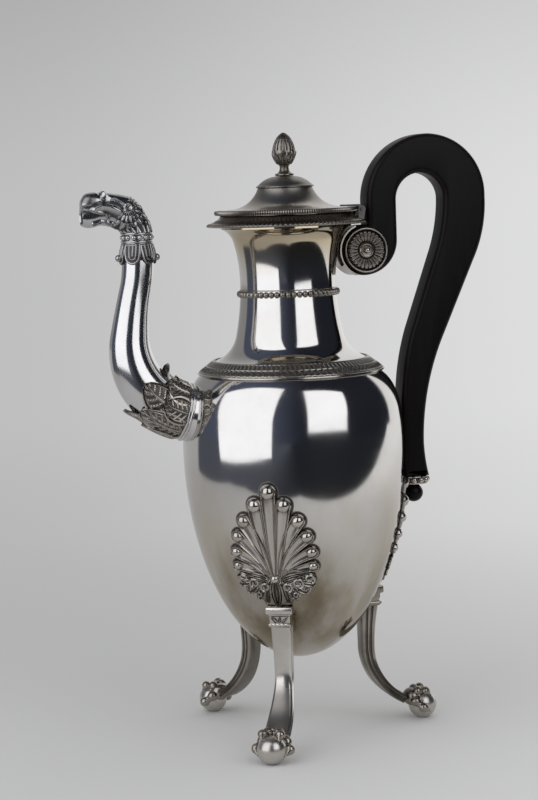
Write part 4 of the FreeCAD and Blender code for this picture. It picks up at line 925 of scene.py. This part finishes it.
def make_spout_head():
    """Blunt-nosed head: brow ridge, sunk eye, rolled lip over a smooth nozzle, ear and feathered nape."""
    shape = Shape()
    angles = angles_round(176)
    rows = []
    for share in spread(0.0, 1.0, 150):
        top = through(HEAD_TOP, share)
        under = through(HEAD_UNDER, share)
        middle = (top + under) / 2
        half = (top - under) / 2
        width = mix(7.7, 5.0, smooth_step(0.2, 1.05, share))
        row = []
        for angle in angles:
            flank = abs(sin(angle)) ** 0.7
            flat = middle + half * fuller(cos(angle))
            rise, dark = head_relief(flat, flank, share, angle)
            grow = half.normalized() * cos(angle) * rise
            side = width * fuller(sin(angle)) + rise * sin(angle)
            row.append((Vector((flat.x + grow.x, side, flat.y + grow.y)), dark))
        rows.append(row)
    muzzle = [spot for spot, dark in rows[-1]]
    for blend, radius, depth, dark in NOZZLE_RINGS:
        ring = [(radius * sin(angle), NOZZLE.y + radius * cos(angle)) for angle in angles]
        hole = [Vector((NOZZLE.x + depth, across, height)) for across, height in ring]
        rows.append([(start.lerp(finish, blend), dark) for start, finish in zip(muzzle, hole)])
    shape.grid(rows, wrap=True)
    for side in (-1, 1):
        shape.bead(Vector((EYE.x, side * 4.8, EYE.y)), 1.0, patina=0.75)
    shape.finish("animal_head", chased, "pot", ["spout_head"])


make_spout_tube()
make_spout_base()
make_spout_calyx()
make_spout_collar()
make_bead_band()
make_spout_head()


# Handle

SCROLL = Vector((41.0, 256.9))
SCROLL_RADIUS = 13.4
HANDLE_HALF = 8.0
HANDLE_EDGE = 3.0
STEM_LEFT = 43.2
TAIL_ACROSS = 67.0
TAIL_HEIGHT = 134.0
RING_LOW = 129.7


def handle_outline():
    """Clockwise outline of the bent wood, from the notch over the scroll round the crest and back."""
    notch = (STEM_LEFT, SCROLL.y + sqrt(SCROLL_RADIUS ** 2 - (STEM_LEFT - SCROLL.x) ** 2))
    corners = [
        notch, (STEM_LEFT, 283.0), (78.4, 317.4, -34.8), (110.2, 283.0, -33.2), (102.6, 248.9, -70.0),
        (84.9, 210.3), (71.8, 152.0, 137.0), (74.2, TAIL_HEIGHT, 91.0), (59.8, TAIL_HEIGHT), (59.8, 172.0),
        (66.3, 213.1, -135.0), (80.5, 252.6), (86.3, 282.0, 87.0), (73.0, 296.7, 14.0), (59.6, 283.0, 14.0),
        (59.6, 262.05), (SCROLL.x, SCROLL.y - SCROLL_RADIUS, -18.55),
        (SCROLL.x - SCROLL_RADIUS, SCROLL.y, -SCROLL_RADIUS), (*notch, -SCROLL_RADIUS),
    ]
    points = []
    outline = run(corners, 1.0)
    for start, finish in zip(outline, outline[1:]):
        steps = max(1, int((finish - start).length / 2.0))
        points += [start.lerp(finish, step / steps) for step in range(steps)]
    return points


def inward(points):
    """Mitred inward direction at each point of a clockwise outline."""
    found = []
    for number, point in enumerate(points):
        before = (point - points[number - 1]).normalized()
        after = (points[(number + 1) % len(points)] - point).normalized()
        middle = Vector((before.y + after.y, -before.x - after.x))
        found.append(middle / max(middle.length_squared / 2, 0.9))
    return found


def make_handle():
    shape = Shape()
    points = handle_outline()
    inner = inward(points)
    rounding = []
    for angle in spread(0.0, pi / 2, 7):
        inset = HANDLE_EDGE * (1 - cos(angle))
        depth = HANDLE_HALF - HANDLE_EDGE * (1 - sin(angle))
        # Brown on the rounded edges: wear, with a painted sheen.
        rounding.append((inset, depth, 0.75 * sin(2 * angle) ** 2))
    rows = []
    for side, order in ((-1, reversed(rounding)), (1, rounding)):
        for inset, depth, wear_and_sheen in order:
            spots = [point + lean * inset for point, lean in zip(points, inner)]
            rows.append([(Vector((spot.x, side * depth, spot.y)), wear_and_sheen) for spot in spots])
    shape.prism(rows)
    shape.finish("bent_wood_handle", wood, "pot", ["handle_grip"], sharp=50.0)


def make_rosettes():
    """Ring of hollow petals with raised edges inside a thin rim, round a small boss."""
    petals = 25

    def ripple(angle, point):
        weight = smooth_step(4.4, 5.6, point.x) * smooth_step(10.9, 10.5, point.x) * (point.y > 0.5)
        across = abs(angle * petals / tau % 1.0 - 0.5)
        tip = 10.2 - 1.9 * (2 * across) ** 3
        inside = smooth_step(0.4, -0.2, point.x - tip) * smooth_step(0.5, 0.43, across)
        ridge = inside * max(bump(across, 0.33, 0.11), bump(point.x, tip - 0.5, 0.5))
        lift = weight * (0.42 * inside + 0.30 * ridge - 0.35)
        return 0.0, lift, weight * mix(mix(0.95, 0.62, inside), 0.12, ridge)
    outline = run([
        (11.9, 0.0), (11.9, 1.3), (11.4, 1.9, 0.5), (10.9, 1.5, 0.5), (10.5, 1.0), (9.6, 1.9, -1.6),
        (5.2, 1.9, -26.0), (4.4, 1.1), (4.1, 1.7), (3.3, 2.5, 1.2), (2.5, 2.1), (0.05, 2.4),
    ], 0.35)
    for side, name in ((-1, "rosette_front"), (1, "rosette_back")):
        def on_scroll(spot):
            return Vector((SCROLL.x + spot.x, side * (HANDLE_HALF + spot.z), SCROLL.y + spot.y))
        turned("petal_" + name, oxidised, "pot", name, outline, petals * 20, ripple=ripple, place=on_scroll,
               patina=lambda point: 0.8 * bump(point.x, 4.5, 0.35) + 0.5 * bump(point.x, 2.4, 0.3))
    rivet = Shape()
    reach = HANDLE_HALF + 2.6
    rivet.tube([Vector((SCROLL.x, depth, SCROLL.y)) for depth in (-reach, reach)], [1.4, 1.4], 24)
    for side in (-1, 1):
        rivet.bead(Vector((SCROLL.x, side * reach, SCROLL.y)), 1.75)
    rivet.finish("rosette_bead_rivet", silver, "pot", ["rosette_rivet"])


def make_tail():
    """Beaded collar round the wood's lower end and the wooden ball under it."""
    ring = Shape()
    beads = 12
    top = TAIL_HEIGHT - 0.05

    def at_tail(spot):
        return spot + Vector((TAIL_ACROSS, 0, 0))
    ring.lathe(run([
        (6.12, RING_LOW), (7.6, RING_LOW), (7.6, RING_LOW + 0.9, 0.5), (7.1, RING_LOW + 1.0),
        (7.1, top - 1.0), (7.6, top - 0.9), (7.6, top, 0.5), (6.12, top), (6.12, RING_LOW),
    ], 0.2), 64, patina=lambda point: 0.85 * (6.5 < point.x < 7.2), place=at_tail)
    for angle in angles_round(beads, 0.5):
        ring.bead(at_tail(round_spot(7.3, angle, (RING_LOW + top) / 2)), 1.72)
    ring.finish("tail_bead_collar", aged, "pot", ["handle_ring"])
    drop = [(0.02, 119.5), (5.1, 124.6, 5.1), (2.6, 128.8, 5.3), (3.4, RING_LOW), (0.02, RING_LOW)]
    turned("tail_drop", wood, "pot", "handle_drop", run(drop, 0.4), 48, place=at_tail)


make_handle()
make_rosettes()
make_tail()


# Legs: shell-shaped palmette, capital, flat bent strut, claw and ball

PALMETTE_HUB = 93.0
# Root, bend and tip of each flute from the hub, across and up, and the radius of its bead.
PALMETTE_FLUTES = (
    ((0.0, 0.0), (0.0, 22.0), (0.0, 45.2), 3.4), ((1.1, 0.0), (4.6, 17.0), (7.4, 38.4), 3.35),
    ((2.1, 0.0), (4.2, 15.0), (13.8, 30.0), 3.1), ((3.1, 0.0), (5.0, 11.6), (17.7, 21.8), 2.85),
    ((4.0, -0.5), (6.6, 8.2), (19.4, 13.4), 2.5), ((4.6, -1.2), (8.6, 4.8), (19.4, 5.9), 2.1),
)


def spun(turn):
    """Turns a point from the handle side to a leg."""
    spin = Matrix.Rotation(radians(turn), 3, "Z")
    return lambda spot: spin @ spot


def flute(across, share):
    """Hollow flute inside a rolled rim, with a dark line round it and a dark seat for the bead."""
    grow = mix(0.5, 1.0, smooth_step(0.0, 0.8, share))
    rim = bump(across, 0.76, 0.13)
    line = bump(across, 0.98, 0.09)
    hollow = smooth_step(0.62, 0.0, across)
    seat = smooth_step(0.88, 0.97, share) * smooth_step(0.70, 0.58, across)
    rise = grow * (0.85 + 1.1 * rim * mix(0.6, 1.2, share) - 0.45 * hollow - 0.6 * line)
    dark = 0.95 * line + 0.85 * seat + 0.5 * bump(across, 0.57, 0.06) + 0.06 * (1 - rim)
    return rise, min(dark, 1.0)


def spiral(shape, skin, across, height, radius, hand):
    """Small scroll of round wire lying on the skin."""
    shares = spread(0.0, 1.0, 26)
    path = []
    for share in shares:
        angle = radians(-70 + 480 * share)
        reach = radius * (1 - 0.72 * share)
        path.append(skin(across + hand * reach * cos(angle), height + reach * sin(angle), 1.0))
    shape.tube(path, [radius * mix(0.27, 0.2, share) for share in shares], 8, patina=0.15)


# Across, height and radius of each scroll, and root, bend, tip and width of each leaf on one side.
BASE_SCROLLS = ((5.6, 87.4, 2.6), (11.2, 89.6, 2.9), (17.0, 91.8, 2.6), (9.6, 83.0, 1.9), (15.0, 86.4, 1.9))
BASE_LEAVES = (
    ((14.5, 92.5), (17.6, 93.6), (19.4, 93.2), 2.3), ((13.5, 90.0), (16.6, 90.0), (18.4, 88.8), 2.5),
    ((10.5, 88.0), (13.0, 86.2), (14.6, 84.9), 2.6), ((6.8, 86.5), (8.6, 83.4), (9.6, 81.6), 2.5),
    ((2.2, 91.0), (4.6, 85.0), (5.4, 79.6), 2.2), ((3.2, 91.4), (8.0, 94.2), (15.0, 94.8), 1.7),
    ((3.4, 89.4), (8.0, 91.6), (13.0, 92.6), 1.6),
)


def curved(points, side, base=0.0):
    """Spine along a bent line given for one side, with its heights measured from a base."""
    route = [Vector((side * across, base + height)) for across, height in points]
    return lambda share: bezier(route, share)


def make_palmette_base(shape, skin):
    """Acanthus at the foot of the fan: a ribbed middle leaf between pairs of leaves and scrolls."""
    shape.petal(lambda share: (0.0, mix(97.0, 77.6, share)),
                lambda share: mix(21.2, 6.9, smooth_step(0.2, 1.0, share)) * smooth_step(-0.4, 0.3, share),
                lambda across, share: (0.7, 0.5 + 0.45 * smooth_step(0.9, 1.0, across)), skin,
                round_tip=False, along_count=20)
    for side in (-1, 1):
        for *points, width in BASE_LEAVES:
            shape.petal(curved(points, side),
                        lambda share: width * sin(pi * min(0.2 + 0.62 * share, 1.0)),
                        ribbed(2.0, 1.5, shade=0.08), skin, along_count=14, across_count=16)
        for across, height, radius in BASE_SCROLLS:
            spiral(shape, skin, side * across, height, radius, side)
    shape.petal(lambda share: (0.0, mix(91.5, 78.6, share)),
                lambda share: 3.4 * sin(pi * min(0.15 + 0.7 * share, 1.0)),
                ribbed(2.6, 2.0, shade=0.05), skin, along_count=14, across_count=18)
    shape.bead(skin(0.0, PALMETTE_HUB - 0.5, 1.6), 2.2)


def make_palmette(leg, turn):
    shape = Shape()
    skin = on_body(turn)
    for number, (*points, radius) in reversed(list(enumerate(PALMETTE_FLUTES))):
        lift = 0.1 * (len(PALMETTE_FLUTES) - number)

        def raised(across, height, proud):
            return skin(across, height, proud + (lift if proud > SUNK else 0))
        for side in (-1, 1) if number else (1,):
            spine = curved(points, side, PALMETTE_HUB)
            shape.petal(spine, lambda share: mix(0.55, radius + 1.15, share ** 0.9), flute, raised,
                        along_count=32, across_count=24)
            bend, end = [Vector((side * across, PALMETTE_HUB + up)) for across, up in points[1:]]
            beyond = end + (end - bend).normalized()
            spot = raised(end.x, end.y, 0.9)
            ahead = raised(beyond.x, beyond.y, 0.9) - spot
            shape.bead(spot, radius, stretch=ahead.normalized() * 1.12)
            # A dark plate a little wider than each flute: a painted shadow line round the flute and its bead.
            shape.petal(spine, lambda share: mix(1.5, radius + 2.0, share),
                        lambda across, share: (0.12, 0.9 - 0.5 * smooth_step(0.88, 1.0, across)), skin)
    make_palmette_base(shape, skin)
    shape.finish("leaf_palmette_" + leg, aged, "pot", ["palmette_" + leg])


CAPITAL_LOW = 72.3
LEG_TOP = 65.3
LEG_FACE = 41.0
# Proud of the leg's face, half width and height of each section.
ABACUS = ((4.4, 6.8, 0.0), (4.8, 6.95, 0.25), (5.0, 7.0, 0.6), (5.0, 7.0, 3.1), (4.8, 6.95, 3.6),
          (4.4, 6.8, 3.9))
NECKING = ((2.6, 5.5, 0.0), (3.3, 5.8, 0.4), (3.7, 6.0, 1.1), (3.7, 6.0, 1.6), (3.3, 5.7, 2.2),
           (2.9, 5.4, 2.5), (3.0, 5.4, 5.6), (3.6, 5.8, 6.2), (3.6, 5.8, 7.0))


def leg_silver(leg):
    """The front leg gets a lighter silver than the other two, which are darker from tarnish and painted
    shade.
    """
    return satin if leg == "front" else tarnish_and_shade


def block_row(face, half, height, corner=0.7, back=35.0):
    """Section of a block against the body, with its two outer corners rounded."""
    row = [Vector((back, -half, height))]
    for side, angles in ((-1, spread(-pi / 2, 0, 5)), (1, spread(0, pi / 2, 5))):
        centre = Vector((face - corner, side * (half - corner), height))
        row += [centre + round_spot(corner, angle) for angle in angles]
    return row + [Vector((back, half, height))]


def make_capital(leg, turn):
    """Square abacus over a moulded block with a small leaf."""
    shape = Shape()
    spin = spun(turn)

    for base, sections in ((CAPITAL_LOW, ABACUS), (LEG_TOP, NECKING)):
        rows = [block_row(LEG_FACE + out, half, base + level) for out, half, level in sections]
        shape.prism([[(spin(spot), 0.0) for spot in row] for row in rows])

    def on_face(across, height, proud):
        return spin(Vector((LEG_FACE + 2.95 + proud, across, height)))
    for side in (-1, 0, 1):
        root = Vector((side * 1.2, LEG_TOP + (2.7 if side else 2.6)))
        tip = Vector((side * 3.9, LEG_TOP + 5.0))
        shape.petal(lambda share: root.lerp(tip, share),
                    lambda share: 0.95 * sin(pi * min(0.2 + 0.6 * share, 1.0)),
                    ribbed(0.8, 1.0), on_face, along_count=8, across_count=10)
    for step in range(5):
        shape.bead(on_face((step - 2) * 2.2, LEG_TOP + 1.3, 0.7), 0.75)
    shape.finish("moulded_capital_" + leg, leg_silver(leg), "pot", ["leg_capital_" + leg], sharp=35.0)


LEG_CENTRE = Vector((73.0, 42.5))
LEG_BEND = 32.0
LEG_DEEP = 7.3
LEG_DEEP_END = 4.6
LEG_END = radians(242)
LEG_GROOVES = (0.36, 0.66)  # shares of the leg's depth
GROOVE_DEEP = 0.55


def leg_faces():
    """Pairs of outer and inner points down the leg."""
    pairs = []
    for height in spread(LEG_TOP + 0.6, LEG_CENTRE.y, 14):
        lean = (height - LEG_CENTRE.y) / (LEG_TOP - LEG_CENTRE.y)
        outer = Vector((LEG_FACE + 2.4 * lean ** 2, height))
        pairs.append((outer, Vector((LEG_FACE - LEG_DEEP, height))))
    for angle in spread(pi, LEG_END, 24)[1:]:
        ray = Vector((cos(angle), sin(angle)))
        deep = mix(LEG_DEEP, LEG_DEEP_END, smooth_step(pi, LEG_END, angle))
        pairs.append((LEG_CENTRE + ray * LEG_BEND, LEG_CENTRE + ray * (LEG_BEND + deep)))
    return pairs


def leg_half_width(height):
    return 4.5 + 0.55 * smooth_step(42, 62, height) + 2.1 * smooth_step(38, 14, height)


def make_strut(leg, turn):
    """Flat strut with chamfered edges and two reeds down each side, browner towards the foot."""
    shape = Shape()
    spin = spun(turn)
    rows = []
    for outer, inner in leg_faces():
        half = leg_half_width(outer.y)
        deep = (inner - outer).normalized()
        length = (inner - outer).length
        brown = 0.62 * smooth_step(37, 28, outer.y)
        section = [(0.0, half - 1.35, brown), (0.12, half - 1.1, brown), (1.0, half - 0.15, brown),
                   (1.3, half, brown)]
        for groove in LEG_GROOVES:
            middle = length * groove
            bottom = half - GROOVE_DEEP
            section += [(middle - 0.75, half, 0.0), (middle - 0.4, bottom, 0.65),
                        (middle + 0.4, bottom, 0.65), (middle + 0.75, half, 0.0)]
        section += [(length - 0.9, half, 0.0), (length - 0.2, half - 0.3, 0.2), (length, half - 0.9, 0.4)]
        section += [(depth, -width, dark) for depth, width, dark in reversed(section)]
        row = []
        for depth, width, dark in section:
            spot = outer + deep * depth
            row.append((spin(Vector((spot.x, width, spot.y))), dark))
        rows.append(row)
    shape.prism(rows)
    shape.finish("flat_leg_" + leg, leg_silver(leg), "pot", ["leg_strut_" + leg], sharp=28.0)


BALL_CENTRE = Vector((68.7, 0, 7.4))
BALL_RADIUS = 7.65
TOE_RADIUS = 2.8
TOES = ((100, 116), (-100, 116), (36, 88), (-36, 88))  # lean and sweep in degrees
SCALES = ((3.6, 5, 27.0), (1.4, 6, 25.0))  # place up the leg, count and spacing in degrees


def make_foot(leg, turn):
    """Four knuckled toes with nails round a smooth ball, under a cuff of scales."""
    spin = spun(turn)
    flat = sqrt(BALL_RADIUS ** 2 - BALL_CENTRE.z ** 2)
    ball = run([(0.02, 0.0), (flat, 0.0), (BALL_RADIUS, BALL_CENTRE.z, BALL_RADIUS),
                (0.02, BALL_CENTRE.z + BALL_RADIUS, BALL_RADIUS)], 0.6)
    turned("smooth_ball_" + leg, brushed, "pot", "foot_ball_" + leg, ball, 64,
           place=lambda spot: spin(spot + Vector((BALL_CENTRE.x, 0, 0))))
    claw = Shape()
    reach = Vector((-0.80, 0, 0.60))
    front = SIDE.cross(reach)

    def outward_at(lean):
        return front * cos(radians(lean)) + SIDE * sin(radians(lean))
    for lean, sweep in TOES:
        outward = outward_at(lean)
        path = []
        radii = []
        for share in spread(0.0, 1.0, 40):
            bent = radians(sweep) * share
            nail = smooth_step(0.74, 1.0, share)
            swell = 0.56 + 0.46 * bump(share, 0.38, 0.11) + 0.42 * bump(share, 0.68, 0.10)
            radius = TOE_RADIUS * swell * (1 - 0.78 * nail)
            ray = reach * cos(bent) + outward * sin(bent)
            path.append(BALL_CENTRE + ray * (BALL_RADIUS + 0.5 * radius))
            radii.append(radius)
        low = [max(0.0, radius - spot.z) for spot, radius in zip(path, radii)]
        path = [spin(spot + UP * lift) for spot, lift in zip(path, low)]
        claw.tube(path, radii, 16)
    root = BALL_CENTRE + reach * BALL_RADIUS
    claw.bead(spin(root), 4.9, stretch=spin(SIDE) * 1.2, rows=16, columns=24)
    for row, (back, count, spacing) in enumerate(SCALES):
        for step in range(count):
            outward = outward_at((step - (count - 1) / 2) * spacing)
            claw.bead(spin(root + reach * (back - 2.6) + outward * (5.2 + 0.3 * row)), 1.25)
    claw.finish("toed_claw_" + leg, oxidised, "pot", ["foot_claw_" + leg])


for leg, turn in LEG_TURNS.items():
    make_palmette(leg, turn)
    make_capital(leg, turn)
    make_strut(leg, turn)
    make_foot(leg, turn)


# Floor, light and camera

HANDLE_AZIMUTH = radians(16.48)
TO_CAMERA = Vector((-sin(HANDLE_AZIMUTH), -cos(HANDLE_AZIMUTH), 0))
IMAGE_RIGHT = Vector((cos(HANDLE_AZIMUTH), -sin(HANDLE_AZIMUTH), 0))
CAMERA_DISTANCE = 1.11936
CAMERA_HEIGHT = 0.2937
CAMERA_YAW = -0.01092
CAMERA_PITCH = 0.10186
CAMERA_ROLL = -0.03454
FOCAL_PIXELS = 2117.54
IMAGE_TALL = 800
SENSOR = 36.0
CLIP_START = 0.05


def make_camera():
    forward = -TO_CAMERA * cos(CAMERA_YAW) + IMAGE_RIGHT * sin(CAMERA_YAW)
    right = IMAGE_RIGHT * cos(CAMERA_YAW) + TO_CAMERA * sin(CAMERA_YAW)
    forward = forward * cos(CAMERA_PITCH) - UP * sin(CAMERA_PITCH)
    up = right.cross(forward)
    tilted = right * cos(CAMERA_ROLL) + up * sin(CAMERA_ROLL)
    upright = up * cos(CAMERA_ROLL) - right * sin(CAMERA_ROLL)
    data = bpy.data.cameras.new("camera")
    data.sensor_width = SENSOR
    data.lens = FOCAL_PIXELS / IMAGE_TALL * SENSOR
    data.clip_start = CLIP_START
    camera = link_object("camera", data)
    turn = Matrix((tilted, upright, -forward)).transposed().to_4x4()
    camera.matrix_world = Matrix.Translation(TO_CAMERA * CAMERA_DISTANCE + UP * CAMERA_HEIGHT) @ turn
    bpy.context.scene.camera = camera


# Slant to the left and right between which the backdrop's tone changes, and the tone at each side.
BACKDROP_TONES = (-0.16, 0.16, 0.515, 0.735)
PALE_TINT = (1.0, 1.0, 1.01)
PAPER_TINT = (1.0, 0.996, 0.988)
ROOM_TINT = (0.85, 1.0, 1.5)
BELOW_TINT = (0.9, 1.0, 1.25)
EVEN_COLOR = (0.62, 0.62, 0.62, 1)
BLACK = (0, 0, 0, 1)
ROOM_SIDE = TO_CAMERA + IMAGE_RIGHT * 0.063
ROOM_EDGE = (-0.51, -0.445)
# Across and forward parts of the way out to each edge of the table, and its distance.
TABLE_EDGES = ((0.484, 0.875, 0.424), (-0.212, 0.977, 0.445), (-0.634, 0.773, 0.56), (-0.951, 0.309, 0.65))
TABLE_EDGE_SOFT = 0.008
TABLE_HALF = 6.0
LAMP_AIM = 0.18
LAMP_COLOR = (0.965, 0.98, 1.02, 1)
LAMP_DISTANCE = 1.0
LAMP_RADIANCE = 1.5


def make_world():
    """Pale backdrop behind the pot, a dark room in front of it and even light for everything dull."""
    world = bpy.context.scene.world or bpy.data.worlds.new("studio")
    bpy.context.scene.world = world
    world.use_nodes = True
    nodes = Nodes(world.node_tree)
    nodes.tree.nodes.clear()
    path = nodes.add("LightPath")
    direction = nodes.add("TexCoord").outputs["Generated"]
    aside = nodes.dot(direction, IMAGE_RIGHT)
    lift = nodes.dot(direction, UP)
    tone = nodes.ease(aside, *BACKDROP_TONES)
    tone = nodes.product(tone, nodes.ease(lift, -0.02, 0.16, 1.0, 0.73))
    seen = nodes.light(nodes.grey(tone, PALE_TINT))
    wall = nodes.light(nodes.grey(nodes.ease(aside, -0.6, 0.5, 0.30, 1.0)))
    room_tone = nodes.ease(aside, -0.6, 0.3, 0.10, 0.018)
    room = nodes.light(nodes.grey(room_tone, ROOM_TINT))
    to_room = nodes.ease(nodes.dot(direction, ROOM_SIDE), *ROOM_EDGE)
    mirrored = nodes.blend(to_room, wall, room)
    even = nodes.light(EVEN_COLOR)
    unseen = nodes.blend(path.outputs["Is Glossy Ray"], even, mirrored)
    surface = nodes.blend(path.outputs["Is Camera Ray"], unseen, seen)
    nodes.add("OutputWorld", {"Surface": surface})


def stage_panel(name, corners, material):
    """Four-cornered face that belongs to the studio."""
    mesh = bpy.data.meshes.new(name)
    mesh.from_pydata(corners, [], [(0, 1, 2, 3)])
    mesh.materials.append(material)
    panel = link_object(name, mesh)
    return panel


def make_floor():
    """Wide pale table top that melts into the backdrop; its front edge shows only in the silver."""
    material, nodes = new_material("pale_table")
    nodes.tree.nodes.clear()
    path = nodes.add("LightPath")
    glossy = path.outputs["Is Glossy Ray"]
    spot = nodes.add("NewGeometry").outputs["Position"]
    aside = nodes.dot(spot, IMAGE_RIGHT)
    ahead = nodes.dot(spot, TO_CAMERA)
    away = nodes.highest(nodes.math("SUBTRACT", CAMERA_DISTANCE, ahead), 0.3)
    slant = nodes.math("DIVIDE", aside, away)
    distance = nodes.vector("DISTANCE", spot, (0.0, 0.0, 0.0))
    tone = nodes.ease(slant, *BACKDROP_TONES)
    # Painted shade: the glowing floor dims a little towards the pot.
    tone = nodes.product(tone, nodes.ease(distance, 0.3, 1.8, 0.90, 1.0))
    glow = nodes.product(nodes.ease(slant, 0.15, 0.6, 0.0, 0.36), glossy)
    tone = nodes.product(tone, nodes.math("ADD", glow, 1.0))
    far = nodes.light(nodes.grey(tone, PALE_TINT), "Emission")
    # Painted light: the paper brightens towards the right.
    paper_tone_and_light = nodes.ease(aside, -0.15, 0.25, 0.62, 0.77)
    paper = nodes.add("BsdfDiffuse", {"Color": nodes.grey(paper_tone_and_light, PAPER_TINT)})
    shown = nodes.highest(path.outputs["Is Camera Ray"], glossy)
    melt = nodes.product(nodes.ease(distance, 0.14, 0.75), shown)
    top = nodes.blend(melt, paper.outputs[0], far)
    beyond = 0.0
    for across, forward, limit in TABLE_EDGES:
        reach = nodes.dot(spot, IMAGE_RIGHT * across + TO_CAMERA * forward)
        beyond = nodes.highest(beyond, nodes.ease(reach, limit - TABLE_EDGE_SOFT, limit + TABLE_EDGE_SOFT))
    bearing = nodes.add("VectorMath", {0: spot}, operation="NORMALIZE").outputs[0]
    front = nodes.ease(nodes.dot(bearing, ROOM_SIDE), *ROOM_EDGE)
    hidden = nodes.product(nodes.product(beyond, front), glossy)
    below_tone = nodes.ease(aside, -0.45, 0.10, 0.10, 0.022)
    below = nodes.light(nodes.grey(below_tone, BELOW_TINT), "Emission")
    nodes.add("OutputMaterial", {"Surface": nodes.blend(hidden, top, below)})
    corners = [(across * TABLE_HALF, along_y * TABLE_HALF, 0)
               for across, along_y in ((-1, -1), (1, -1), (1, 1), (-1, 1))]
    stage_panel("floor", corners, material)


def make_softbox(name, corners):
    """Four-cornered lamp; each corner is an azimuth from the camera and a height angle seen from the body."""
    material, nodes = new_material(name)
    nodes.tree.nodes.clear()
    lit = nodes.light(LAMP_COLOR, "Emission", LAMP_RADIANCE)
    dark = nodes.light(BLACK, "Emission")
    back = nodes.add("NewGeometry").outputs["Backfacing"]
    nodes.add("OutputMaterial", {"Surface": nodes.blend(back, lit, dark)})
    spots = []
    for azimuth, height in corners:
        level = TO_CAMERA * cos(radians(azimuth)) + IMAGE_RIGHT * sin(radians(azimuth))
        ray = level * cos(radians(height)) + UP * sin(radians(height))
        spots.append(ray * LAMP_DISTANCE + UP * LAMP_AIM)
    lamp = stage_panel(name, spots, material)
    lamp.visible_camera = False
    lamp.visible_shadow = False


bpy.context.scene.view_settings.view_transform = "Standard"
make_camera()
make_world()
make_floor()
make_softbox("left_softbox", ((-91, 35), (-12, 58), (-22, -8), (-79, -9)))
make_softbox("right_softbox", ((17, 53), (67, 40), (56, 1), (15, 2)))
